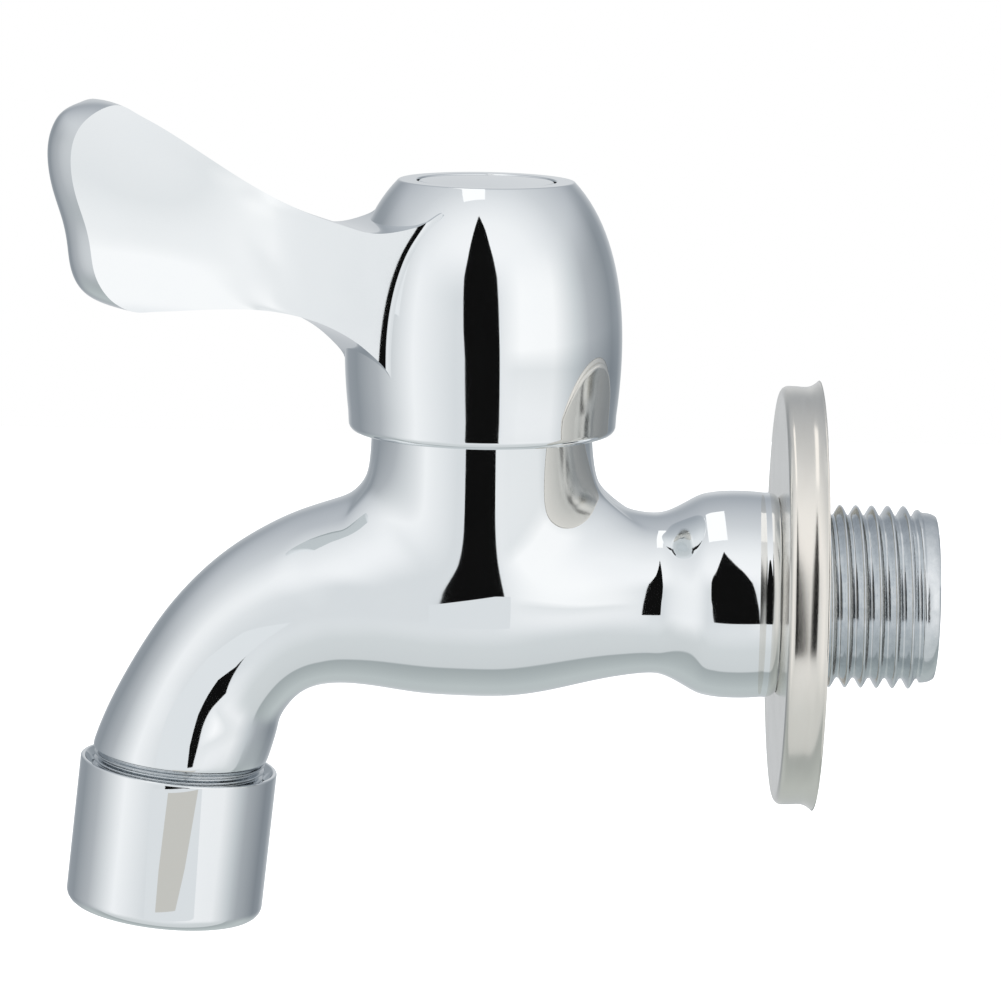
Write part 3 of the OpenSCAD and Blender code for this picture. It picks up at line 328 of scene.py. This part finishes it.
def to_bore(bm, z, rings):
    """Closes a thread's flat end inwards over rings of a radius and a height."""
    row = [e for e in bm.edges if e.is_boundary and all(abs(v.co.z - z) < 0.01 for v in e.verts)]
    for r, height in rings:
        row = extend(bm, row, lambda v: Vector((v.co.x, v.co.y, 0)).normalized() * r
                     + Vector((0, 0, height)))
    bmesh.ops.contextual_create(bm, geom=row)


bm = threaded(PITCH, CREST_R, ROOT_R, THREAD_START, TAIL_END)
for v in bm.verts:
    lead, r = v.co.z - (TAIL_END - LEAD), hypot(v.co.x, v.co.y)
    if lead > 0:
        want = LEAD_R - LEAD_ROUNDS * lead ** 3
    else:
        want = min(r, CREST_R - max(0, lead + RUN_OUT) * RUN_OUT_SLOPE)
    v.co.x, v.co.y = v.co.x * want / r, v.co.y * want / r
to_bore(bm, TAIL_END, TAIL_BORE)
to_bore(bm, THREAD_START, TAIL_SPIGOT)
along_x = Matrix.Rotation(pi / 2, 3, "Y")
bmesh.ops.rotate(bm, cent=(0, 0, 0), matrix=along_x, verts=bm.verts)
tail = piece("inlet_tail", bm, "tap_body", "chromed_brass")
zinc, tree, shader, place, chatter = mottled(
    "thin_plate_on_thread", {"Metallic": 1},
    {"Scale": per_mm(CUTTER_CHATTER), "Detail": 5, "Roughness": 0.65},
    tones=("#C6CCD1", "#EDEFF0"), gloss=(0.06, 0.2))
nicks = node(tree, "Bump", {"Strength": 0.6, "Distance": NICK * MM, "Height": chatter})
tree.links.new(nicks.outputs["Normal"], shader.inputs["Normal"])
tail.data.materials.append(zinc)

# Outlet nipple: the fine thread that carries the aerator, cut on the spout's end. Two or three of
# its crests show in the gap over the aerator.
FINE_PITCH, FINE_CREST_R, FINE_ROOT_R = 0.75, 9.85, 9.35
NIPPLE_END, NIPPLE_TOP = -6.2, 0.4
OUTLET = Matrix.Translation((VALVE_X + OUTLET_X, 0, OUTLET_Z)) @ Matrix.Rotation(LEAN, 4, "Y")
bm = threaded(FINE_PITCH, FINE_CREST_R, FINE_ROOT_R, NIPPLE_END, NIPPLE_TOP)
to_bore(bm, NIPPLE_END, [(6.8, NIPPLE_END), (6.8, -0.5)])
to_bore(bm, NIPPLE_TOP, [(6.9, NIPPLE_TOP)])
bmesh.ops.transform(bm, matrix=OUTLET, verts=bm.verts)
nipple = piece("outlet_nipple", bm, "tap_body", "chromed_brass")
nipple.data.materials.append(zinc)

# Wall flange: a loose dish spun from thin stainless sheet, with a flat front, a rolled corner and
# a rear lip that flares a little. It hides the hole in the wall. Spinning leaves it satin, with
# faint streaks round the axis and shallow dents.
RIM_R, DEPTH, SHEET, HOLE_R = 24, 4.4, 0.6, 10.8
CORNER, HOLE_EASED, LIP_STEPS = 1.6, 0.2, 10
STREAK, STREAK_LAY, DENT, DENT_DEPTH = 5, (6, 1, 1), 16, 0.06
ARC_STEPS = 6


def rounded(corners):
    """Points of a profile whose corners are (radius, height, rounding)."""
    out = []
    for (x0, y0, _), (x1, y1, r), (x2, y2, _) in zip(
            corners[-1:] + corners, corners, corners[1:] + corners[:1]):
        at = Vector((x1, y1))
        a, b = Vector((x0, y0)) - at, Vector((x2, y2)) - at
        if r == 0:
            out.append(at)
            continue
        half = a.angle(b) / 2
        cut = min(r / tan(half), 0.45 * a.length, 0.45 * b.length)
        a.normalize()
        b.normalize()
        middle = at + (a + b).normalized() * cut / cos(half)
        # a point just before and after the arc keeps the flats beside it flat
        spare = min(0.15, 0.1 * cut + 0.05)
        out.append(at + a * (cut + spare))
        for k in range(ARC_STEPS + 1):
            way = (a * cut).lerp(b * cut, k / ARC_STEPS) + at - middle
            out.append(middle + way.normalized() * cut * tan(half))
        out.append(at + b * (cut + spare))
    return out


def turned(points, steps, closed=True):
    """Turns a profile of radii and heights round +Z, closed or from axis to axis."""
    bm = bmesh.new()
    chain = [bm.verts.new((p[0], 0, p[1])) for p in points]
    for a, b in zip(chain, chain[1:] + (chain[:1] if closed else [])):
        bm.edges.new((a, b))
    bmesh.ops.spin(bm, geom=bm.verts[:] + bm.edges[:], cent=(0, 0, 0), axis=(0, 0, 1), angle=2 * pi,
                   steps=steps, use_merge=True)
    return bm


side = [Vector((RIM_R, -DEPTH + CORNER)), Vector((RIM_R - 0.2, -1.4)), Vector((RIM_R - 0.2, -0.93)),
        Vector((RIM_R + 0.65, 0))]
outer = [cubic(side, k / LIP_STEPS) for k in range(LIP_STEPS + 1)]
inner = [p - Vector((SHEET, 0)) for p in reversed(outer)]
profile = [(HOLE_R, -DEPTH, HOLE_EASED), (RIM_R, -DEPTH, CORNER)]
profile += [(p.x, p.y, 0) for p in outer[1:] + inner[:-1]]
profile += [(RIM_R - SHEET, -DEPTH + SHEET, CORNER - SHEET), (HOLE_R, -DEPTH + SHEET, HOLE_EASED)]
bm = turned(rounded(profile), steps=128)
bmesh.ops.rotate(bm, cent=(0, 0, 0), matrix=along_x, verts=bm.verts)
flange = piece("flange_dish", bm, "flange", "stainless_sheet", "wall_flange")
stainless, tree, shader, place, _ = mottled(
    "spun_stainless_sheet", {"Metallic": 1}, {"Scale": per_mm(STREAK), "Detail": 5, "Roughness": 0.6},
    tones=("#E8E3DB", "#F0ECE5"), gloss=(0.12, 0.24), lay=STREAK_LAY)
dents = node(tree, "TexNoise", {"Vector": place, "Scale": per_mm(DENT), "Detail": 1})
press = node(tree, "Bump", {"Strength": 1, "Distance": DENT_DEPTH * MM, "Height": dents.outputs["Fac"]})
tree.links.new(press.outputs["Normal"], shader.inputs["Normal"])
flange.data.materials.append(stainless)

# Headwork: the brass cartridge screwed into the neck, with its spindle. Turned from free-cutting
# bar, so it shows tool rings and a warm, slightly tarnished yellow. The rings are drawn 5 mm apart,
# far coarser than real ones, so that they show. A wave of scale 1 has 20 radians to the metre.
RING, TOOL_MARK = 5.0265, 0.02
brass, tree, shader, place, _ = mottled(
    "turned_brass_bar", {"Metallic": 1}, {"Scale": per_mm(4), "Detail": 3},
    tones=("#B98F4A", "#DCBB74"), gloss=(0.18, 0.36))
rings = node(tree, "TexWave", {"Vector": place, "Scale": per_mm(RING) * 2 * pi / 20, "Distortion": 0.4,
                               "Detail": 1}, wave_type="BANDS", bands_direction="Z")
cuts = node(tree, "Bump", {"Strength": 0.5, "Distance": TOOL_MARK * MM, "Height": rings.outputs["Fac"]})
tree.links.new(cuts.outputs["Normal"], shader.inputs["Normal"])


def dress(finish, *names):
    """Gives CAD nodes a finish in place of their plain colour."""
    for name in names:
        solids[name].data.materials.clear()
        solids[name].data.materials.append(finish)


dress(brass, "headwork_body", "spindle")

# Seals: the washer under the hexagon, the seat's seal, the stem's two rings and the aerator's
# gasket. Moulded nitrile rubber, dull black with a bloom of grey.
rubber = mottled(
    "moulded_nitrile_rubber", {"IOR": 1.52, "Specular IOR Level": 0.4}, {"Scale": per_mm(1.5), "Detail": 4},
    tones=("#1B1B1C", "#333436"), gloss=(0.5, 0.75))[0]
dress(rubber, "neck_seal", "seat_seal", "spindle_orings", "aerator_gasket")

# Discs: the two lapped alumina discs that meter the water, off-white and almost a mirror where
# they slide on each other.
alumina = mottled(
    "lapped_alumina", {"IOR": 1.76}, {"Scale": per_mm(0.8), "Detail": 5},
    tones=("#E3DFD6", "#F1EFEA"), gloss=(0.12, 0.3))[0]
dress(alumina, "fixed_disc", "moving_disc")

# Friction washer: a thin ring between the spindle's drive plate and the cartridge's roof, skived
# from a slippery fluoropolymer rod. It is waxy white with a soft gloss.
slip = mottled(
    "skived_fluoropolymer", {"IOR": 1.36}, {"Scale": per_mm(2), "Detail": 3},
    tones=("#DCDDDC", "#ECEDEC"), gloss=(0.3, 0.5))[0]
dress(slip, "friction_washer")

# Small steel: the stop ring, the spring clip, the handle's screw with its washer and the dirt
# screen. Stamped or rolled, tumbled and left bright.
steel = mottled(
    "tumbled_spring_steel", {"Metallic": 1}, {"Scale": per_mm(0.9), "Detail": 4},
    tones=("#8C8E90", "#B4B6B7"), gloss=(0.22, 0.45))[0]
dress(steel, "stop_ring", "spindle_clip", "handle_screw", "screw_washer", "inlet_screen")

# Handle: zinc, die-cast in one piece as a bell over the headwork and a fish-tailed lever, then
# ground, buffed and chromed. The lever meets the bell in a crisp, concave crease.
BELL_Z, BELL_H, BELL_STEPS = 18.4, 28.6, 28
FOOT_R, FOOT_EASED, TOP_R, CAP_R = 15.15, 1.2, 9.95, 7.9
TURNED_OPEN = Matrix.Translation((VALVE_X, 0, 0)) @ Matrix.Rotation(radians(180 + 22), 4, "Z")
foot, top = Vector((FOOT_R, FOOT_EASED)), Vector((TOP_R, BELL_H))
wall = [foot, foot + Vector((1.25, 9.2)), top + Vector((6.25, -6.4)), top]
profile = [(4.05, 11.75, 0.2), (6.4, 11.75, 0.4), (6.4, 22, 0.6), (10.8, 22, 1), (13.2, 15.6, 0.8),
           (13.2, 0, 0.25), (FOOT_R, 0, FOOT_EASED)]
profile += [(p.x, p.y, 0) for p in (cubic(wall, k / BELL_STEPS) for k in range(1, BELL_STEPS))]
profile += [(TOP_R, BELL_H, 0.35), (CAP_R, BELL_H, 0.2), (CAP_R, 24.8, 0.1), (4.3, 24.8, 0.1),
            (4.3, 22.2, 0.1), (2.2, 22.2, 0.1), (2.2, 18.8, 0.1), (4.05, 18.8, 0.1)]
bm = turned(rounded(profile), steps=128)
bmesh.ops.translate(bm, vec=(0, 0, BELL_Z), verts=bm.verts)
bmesh.ops.transform(bm, matrix=TURNED_OPEN, verts=bm.verts)
bell = piece("handle_bell", bm, "handle", "chromed_zinc", "handle_lever")
bell.data.materials.append(chrome)

# Lever: the same casting's arm, hollowed a little along both faces and crowned along its edges. Its
# root is sunk in the bell's wall, so that the crease stays sharp.
NOTCH = Vector((47.4, 23))
HEEL_H, LOBE_H = 7.6, 15
TIP_TOP, TIP_FOOT = NOTCH + Vector((-2.4, LOBE_H)), NOTCH + Vector((-4.4, -HEEL_H))
ROOT_TOP, ROOT_FOOT = Vector((14, 23.3)), Vector((13, 6.6))
SUNK_TOP, SUNK_FOOT = Vector((8.5, 25.4)), Vector((8.5, 1.4))
TOP_EDGE = [ROOT_TOP, ROOT_TOP + Vector((14, 2.1)), TIP_TOP - Vector((9, 3.4)), TIP_TOP]
FOOT_EDGE = [ROOT_FOOT, ROOT_FOOT + Vector((7.7, 11.3)), TIP_FOOT - Vector((9.4, 0.6)), TIP_FOOT]
HEEL = [TIP_FOOT, TIP_FOOT + Vector((3, 0.3)), NOTCH + Vector((0.9, -2.3)), NOTCH]
LOBE = [NOTCH, NOTCH + Vector((2.9, 6.6)), TIP_TOP + Vector((7, -1.6)), TIP_TOP]
# shares of the lever's height below the notch, and of its length sunk in the bell
NOTCH_V, SUNK = HEEL_H / (HEEL_H + LOBE_H), 0.1
# half thicknesses at the waist and the tip, each at its distance from the valve's axis
WAIST_AT, WAIST_HALF, TIP_AT, TIP_HALF, HOLLOW = 28, 4.2, 45, 4.4, 0.8
SWELL, SWELL_REACH, SWELL_SOFT = 3.5, 14, 0.25
# rows of the root's fillet: how far outside the bell, and how far it spreads
FILLET = [(-0.5, 0.5), (0, 0.22), (0.18, 0.08), (0.4, 0.02), (0.9, 0)]
LONG, TALL = 17, 10
CROWN, TIP_CROWN, INSET = 0.15, 1.5, 0.04


def on_edge(sunk, p, u):
    """Point of an edge that starts at its sunk end."""
    return sunk.lerp(p[0], u / SUNK) if u < SUNK else cubic(p, (u - SUNK) / (1 - SUNK))


def on_side(u, v):
    """Point of the lever's outline filled in between its four edges."""
    if v < NOTCH_V:
        tip = cubic(HEEL, v / NOTCH_V)
    else:
        tip = cubic(LOBE, (v - NOTCH_V) / (1 - NOTCH_V))
    root = SUNK_FOOT.lerp(SUNK_TOP, v)
    between = on_edge(SUNK_FOOT, FOOT_EDGE, u).lerp(on_edge(SUNK_TOP, TOP_EDGE, u), v)
    return between + root.lerp(tip, u) - root.lerp(TIP_FOOT.lerp(TIP_TOP, v), u)


def on_face(u, v):
    """Point of the face at its distance from the valve's axis, half thickness and height."""
    p = on_side(u, v)
    if p.x > WAIST_AT:
        half = eased(p.x, [(WAIST_AT, WAIST_HALF), (TIP_AT, TIP_HALF)])
    else:
        swell = max(0, WAIST_AT - p.x) / SWELL_REACH
        half = WAIST_HALF + SWELL * swell * swell / (swell + SWELL_SOFT)
    off = (NOTCH_V - v) / NOTCH_V if v < NOTCH_V else (v - NOTCH_V) / (1 - NOTCH_V)
    hollow = HOLLOW * eased(p.x, [(WAIST_AT, 0), (TIP_AT, 1)]) * (1 - off * off)
    return Vector((p.x, half - hollow, p.y))


bell_line = [cubic(wall, k / 60) for k in range(61)]


def over_bell(p):
    """How far a point of the lever stands outside the bell."""
    for a, b in zip(bell_line, bell_line[1:]):
        if p.z < b.y:
            return hypot(p.x, p.y) - a.x - (b.x - a.x) * (p.z - a.y) / (b.y - a.y)
    return hypot(p.x, p.y)


def share_at(v, gap):
    """Share of the lever's length at which its face stands that far outside the bell."""
    low, high = 0.0, 0.5
    for _ in range(30):
        middle = (low + high) / 2
        low, high = (middle, high) if over_bell(on_face(middle, v)) < gap else (low, middle)
    return low


bm = bmesh.new()
column, height = bm.verts.layers.int.new("column"), bm.verts.layers.float.new("height")
crease = bm.edges.layers.float.new("crease_edge")
bmesh.ops.create_grid(bm, x_segments=LONG, y_segments=TALL, size=0.5)
for v in bm.verts:
    v[column], v[height] = round((v.co.x + 0.5) * LONG), v.co.y + 0.5


def share(v):
    """Share of the lever's length at a corner's column."""
    i, last_fillet = v[column], len(FILLET) - 1
    if i <= last_fillet:
        return share_at(v[height], FILLET[i][0])
    start = share_at(v[height], FILLET[last_fillet][0])
    return start + (1 - start) * (i - last_fillet) / (LONG - last_fillet)


def spread(v):
    """How far the fillet spreads at a corner's column."""
    return FILLET[v[column]][1] if v[column] < len(FILLET) else 0


made = bmesh.ops.extrude_face_region(bm, geom=bm.faces[:], use_keep_orig=True)["geom"]
far = {v for v in made if isinstance(v, bmesh.types.BMVert)}
for v in bm.verts:
    p = on_face(share(v), v[height])
    rise = spread(v) * (2 * v[height] - 1) if v[height] in (0, 1) else 0
    v.co = Vector((p.x, (p.y + spread(v)) * (1 if v in far else -1), p.z + rise))
walls = [e for e in bm.edges if (e.verts[0] in far) != (e.verts[1] in far)]
for e in bm.edges:
    if sum(any((v in far) != (f.verts[0] in far) for v in f.verts) for f in e.link_faces) == 1:
        e[crease], e.smooth = 1, False
made = bmesh.ops.subdivide_edges(bm, edges=walls, cuts=1)["geom_inner"]
for v in [v for v in made if isinstance(v, bmesh.types.BMVert)]:
    u, h = share(v), v[height]
    edge, inside = on_side(u, h), on_side(min(u, 1 - INSET), min(max(h, INSET), 1 - INSET))
    out = (edge - inside).normalized() if edge != inside else Vector((0, 0))
    crown = max(TIP_CROWN * out.x, CROWN) if v[column] == LONG and h > 0 else CROWN
    v.co = Vector((edge.x + crown * out.x, 0, edge.y + crown * out.y + spread(v) * (2 * h - 1)))
bmesh.ops.translate(bm, vec=(0, 0, BELL_Z), verts=bm.verts)
bmesh.ops.transform(bm, matrix=TURNED_OPEN, verts=bm.verts)
lever = piece("handle_arm", bm, "handle", "chromed_zinc")
smoothed(lever, levels=3, passes=2)
lever.data.materials.append(chrome)

# Cap: a plain disc that hides the handle's screw, moulded in ABS and chromed like the bell. A skirt
# under it snaps into the recess in the bell's top.
profile = [(0, 45, 0), (6.9, 45, 0.1), (6.9, 43.2, 0.1), (7.7, 43.2, 0.1), (7.7, 46.9, 0.25),
           (5, 47.02, 0), (2.5, 47.09, 0), (0, 47.11, 0)]
bm = turned(rounded(profile), steps=96, closed=False)
bmesh.ops.translate(bm, vec=(VALVE_X, 0, 0), verts=bm.verts)
cap = piece("cap_disc", bm, "handle", "chromed_plastic", "handle_cap")
cap.data.materials.append(chrome)

# Aerator housing: a short sleeve turned from brass tube, chromed, screwed on the nipple. Its rim is
# eased and its foot is rounded in to a narrow lip.
SLEEVE_R, RIM, FOOT = 11.35, -1.45, -18.65
profile = [(8.2, FOOT, 0.25), (SLEEVE_R, FOOT, 1.8), (SLEEVE_R, RIM, 0.25), (10.9, RIM, 0.15),
           (10, RIM - 1.5, 0.3), (10, -9.25, 0.1), (9, -9.25, 0.1), (9, -17.35, 0.1), (8.2, -17.35, 0.2)]
bm = turned(rounded(profile), steps=128)
bmesh.ops.transform(bm, matrix=OUTLET, verts=bm.verts)
sleeve = piece("aerator_sleeve", bm, "aerator_shell", "chromed_brass", "aerator_housing")
sleeve.data.materials.append(chrome)

# Aerator insert: the core, jet plate and honeycomb, moulded in acetal. Off-white plastic with a
# soft moulded gloss and faint flow marks.
acetal = mottled(
    "moulded_acetal", {"IOR": 1.48}, {"Scale": per_mm(3), "Detail": 3},
    tones=("#D9DAD8", "#E8E9E7"), gloss=(0.28, 0.45))[0]
dress(acetal, "aerator_core", "diffuser_plate", "outlet_grid")

# Studio: a white room with a pale floor well below the tap and three softboxes. Only reflections
# see the toned dome round it, the card overhead, the tall black slit behind the camera and the glowing
# strips just before the chrome, which paint reflections onto it. Sizes are in metres, unless MM stands
# beside them.
ROOM_LIGHT, REFLECTED_LIGHT, OVERHEAD_LIGHT = 0.7, 1.12, 1.15
DOME_R, FLOOR_Z, FLOOR_HALF = 2.4, -0.9, 6
SLIT_Y = -0.7
# the slit's edges: height, left and right
SLIT = [(-0.29, -0.209, 0.152), (-0.05, -0.22, 0.13), (0.05, -0.243, 0.12), (0.18, -0.258, 0.111),
        (0.3, -0.266, 0.1), (0.43, -0.244, 0.063), (0.57, -0.229, 0.017), (0.78, -0.205, -0.04),
        (1.12, -0.165, -0.16)]
# strips before the body, the spout and the aerator trim the slit's reflection there: rows in MM
# each strip glows and paints a reflection on the chrome: pale ones cut the slit's dark band short, the
# beige one paints a beige band on the aerator
STRIPS = {
    "body_strip": ("#DCDFE1", -14, [
        (-3.2, -44.5, -34.4), (0.1, -44.5, -34.4), (0.9, -39.5, -34.4), (1.4, -36.4, -34.4)]),
    "spout_strip": ("#E0E3E5", -14, [
        (-21.5, -77, -70.3), (-17, -77, -70.4), (-14.6, -77, -70), (-12.9, -77, -69.6),
        (-11.9, -77, -69), (-10.4, -76, -67.9), (-9.7, -75, -65.6), (-6.5, -72, -63), (-4, -67, -61)]),
    "aerator_strip": ("#DCDFE1", -14.6, [(-38.5, -77, -67), (-22.3, -77, -67)]),
    "beige_strip": ("#C6C4BE", -14, [
        (-36.6, -74.9, -71.5), (-31.8, -74.6, -70.1), (-22.6, -73.5, -68.2)])}
OVERHEAD_AT, OVERHEAD_SIZE = Vector((-0.16, 0.06, 0.75)), (0.22, 0.6)
# tones of the room by the direction from the tap: round it at its own height, in degrees from the
# camera by way of the right, then overhead and underfoot from front to back, and down to the floor
ROUND = [(-180, "#CDD0D3"), (-150, "#91979D"), (-130, "#8C9298"), (-98, "#AFB3B7"), (-80, "#D2D5D7"),
         (-60, "#F2F3F4"), (-24, "#D9DCDE"), (6, "#DCDFE1"), (30, "#FCFCFC"), (60, "#FAFAFA"),
         (82, "#CFD3D5"), (98, "#AEB2B6"), (134, "#888E94"), (150, "#91979D"), (180, "#CDD0D3")]
OVERHEAD = [(-1, "#FAFAFB"), (-0.6, "#F2F3F4"), (-0.3, "#E2E4E6"), (0, "#CFD2D5"), (0.5, "#B8BCC1"),
            (1, "#989EA5")]
UNDERFOOT = [(-1, "#E8EAEC"), (-0.57, "#D1D5D6"), (-0.09, "#CCD0D1"), (-0.05, "#A2A9AA"),
             (0.5, "#B9C0C0"), (1, "#B6BCBD")]
LEDGE = [(-0.3, "#F1F2F3"), (-0.152, "#E8EAEB"), (-0.06, "#FFFFFF"), (0, "#FFFFFF")]
WHITE = (1, 1, 1, 1)

world = bpy.data.worlds.new("studio")
scene.world = world
world.use_nodes = True
tree = world.node_tree
tree.nodes.clear()
ray = node(tree, "LightPath", {}).outputs
seen = node(tree, "Math", {0: ray["Is Camera Ray"], 1: ray["Is Glossy Ray"]}, operation="MAXIMUM")
seen = node(tree, "Math", {0: seen.outputs[0], 1: ray["Is Transmission Ray"]}, operation="MAXIMUM")
strength = node(tree, "MapRange", {"Value": seen.outputs[0], "To Min": ROOM_LIGHT, "To Max": 1})
room = node(tree, "Background", {"Color": WHITE, "Strength": strength.outputs["Result"]})
node(tree, "OutputWorld", {"Surface": room.outputs[0]})


def card(name, bm, colour, strength):
    """A stage card that only reflections see. Returns its nodes and its glow."""
    for f in bm.faces:
        f.smooth = True
    mesh = bpy.data.meshes.new(name)
    bm.to_mesh(mesh)
    bm.free()
    obj = bpy.data.objects.new(name, mesh)
    scene.collection.objects.link(obj)
    paint = bpy.data.materials.new(name)
    paint.use_nodes = True
    tree = paint.node_tree
    tree.nodes.clear()
    glow = node(tree, "Emission", {"Color": colour, "Strength": strength})
    node(tree, "OutputMaterial", {"Surface": glow.outputs[0]})
    mesh.materials.append(paint)
    obj.visible_camera = obj.visible_diffuse = obj.visible_shadow = False
    return tree, glow


def ladder(name, tone, strength, rows, y):
    """An upright card from its rows of height, left and right."""
    bm = bmesh.new()
    number = bm.verts.layers.int.new("number")
    row = [bm.edges.new([bm.verts.new((x, y, rows[0][0])) for x in rows[0][1:]])]
    for n, v in enumerate(row[0].verts):
        v[number] = n
    for z, left, right in rows[1:]:
        row = extend(bm, row, lambda v: Vector(((left, right)[v[number]], y, z)))
    card(name, bm, linear(tone), strength)


ladder("black_slit", "#101010", 1, SLIT, SLIT_Y)
for name, (tone, y, rows) in STRIPS.items():
    rows = [(z * MM, left * MM, right * MM) for z, left, right in rows]
    ladder(name, tone, REFLECTED_LIGHT, rows, y * MM)
bm = bmesh.new()
bmesh.ops.create_grid(bm, x_segments=2, y_segments=2, size=0.5)
bmesh.ops.scale(bm, vec=(*OVERHEAD_SIZE, 1), verts=bm.verts)
bmesh.ops.translate(bm, vec=OVERHEAD_AT, verts=bm.verts)
card("top_softbox", bm, WHITE, OVERHEAD_LIGHT)


def room_tone(tree):
    """Tone of the room in a direction: white on both sides of the camera, darker behind the tap."""
    place = node(tree, "TexCoord", {}).outputs["Object"]
    way = node(tree, "VectorMath", {0: place}, operation="NORMALIZE").outputs[0]
    way = node(tree, "SeparateXYZ", {"Vector": way}).outputs
    ahead = node(tree, "Math", {0: way["Y"], 1: -1}, operation="MULTIPLY")
    angle = node(tree, "Math", {0: way["X"], 1: ahead.outputs[0]}, operation="ARCTAN2").outputs[0]
    tones = []
    for value, stops, low, high in ((angle, ROUND, -pi, pi), (way["Y"], OVERHEAD, -1, 1),
                                    (way["Y"], UNDERFOOT, -1, 1), (way["Z"], LEDGE, -0.3, 0)):
        share = node(tree, "MapRange", {"Value": value, "From Min": low, "From Max": high})
        ramp = node(tree, "ValToRGB", {"Fac": share.outputs[0]})
        (first, first_tone), (end, end_tone) = stops[0], stops[-1]
        marks = ramp.color_ramp.elements
        marks[0].color, marks[1].color = linear(first_tone), linear(end_tone)
        for at, tone in stops[1:-1]:
            marks.new((at - first) / (end - first)).color = linear(tone)
        tones.append(ramp.outputs[0])
    around, overhead, underfoot, ledge = tones
    # how far a direction is overhead, underfoot, and to the right of the camera
    rise, fall, right = (
        node(tree, "MapRange", {"Value": value, "From Min": low, "From Max": high},
             interpolation_type="SMOOTHSTEP").outputs[0]
        for value, low, high in ((way["Z"], 0.18, 0.6), (way["Z"], -0.32, -0.7), (angle, 0.2, 0.55)))
    tone = node(tree, "MixRGB", {"Fac": right, "Color1": around, "Color2": ledge}, blend_type="MULTIPLY")
    tone = node(tree, "MixRGB", {"Fac": rise, "Color1": tone.outputs[0], "Color2": overhead})
    tone = node(tree, "MixRGB", {"Fac": fall, "Color1": tone.outputs[0], "Color2": underfoot})
    return tone.outputs[0]


bm = bmesh.new()
bmesh.ops.create_uvsphere(bm, u_segments=64, v_segments=32, radius=DOME_R)
tree, glow = card("studio_dome", bm, WHITE, REFLECTED_LIGHT)
tree.links.new(room_tone(tree), glow.inputs["Color"])

# the floor: white to the camera, toned like the dome in reflections, and plain paper to the light
bm = bmesh.new()
bmesh.ops.create_grid(bm, x_segments=2, y_segments=2, size=FLOOR_HALF)
bmesh.ops.translate(bm, vec=(0, 0, FLOOR_Z), verts=bm.verts)
mesh = bpy.data.meshes.new("floor")
bm.to_mesh(mesh)
bm.free()
floor = bpy.data.objects.new("floor", mesh)
scene.collection.objects.link(floor)
paper, tree, shader = material("pale_floor_paper", {"Roughness": 0.9, "Base Color": linear("#B4B6B8")})
ray = node(tree, "LightPath", {}).outputs
seen = node(tree, "Math", {0: ray["Is Camera Ray"], 1: ray["Is Transmission Ray"]}, operation="MAXIMUM")
lift = node(tree, "Emission", {"Color": WHITE, "Strength": seen.outputs[0]})
lit = node(tree, "AddShader", {0: shader.outputs[0], 1: lift.outputs[0]})
mirrored = node(tree, "Emission", {"Color": room_tone(tree), "Strength": REFLECTED_LIGHT})
both = node(tree, "MixShader", {0: ray["Is Glossy Ray"], 1: lit.outputs[0], 2: mirrored.outputs[0]})
tree.links.new(both.outputs[0], tree.nodes["Material Output"].inputs["Surface"])
floor.data.materials.append(paper)

# the softboxes: place, width and height, and watts
for name, place, size, watts in (("softbox_left", (-1.0, -0.85, 0.45), (0.9, 1.3), 4.6),
                                 ("softbox_right", (0.95, -0.85, 0.45), (0.9, 1.3), 4.6),
                                 ("softbox_top", (-0.1, -0.1, 1.5), (1.2, 1.2), 4)):
    box = bpy.data.lights.new(name, "AREA")
    box.shape = "RECTANGLE"
    box.size, box.size_y = size
    box.energy = watts
    lamp = bpy.data.objects.new(name, box)
    scene.collection.objects.link(lamp)
    lamp.location = place
    lamp.visible_glossy = False
    lamp.rotation_euler = (LOOK_AT - Vector(place)).to_track_quat("-Z", "Y").to_euler()
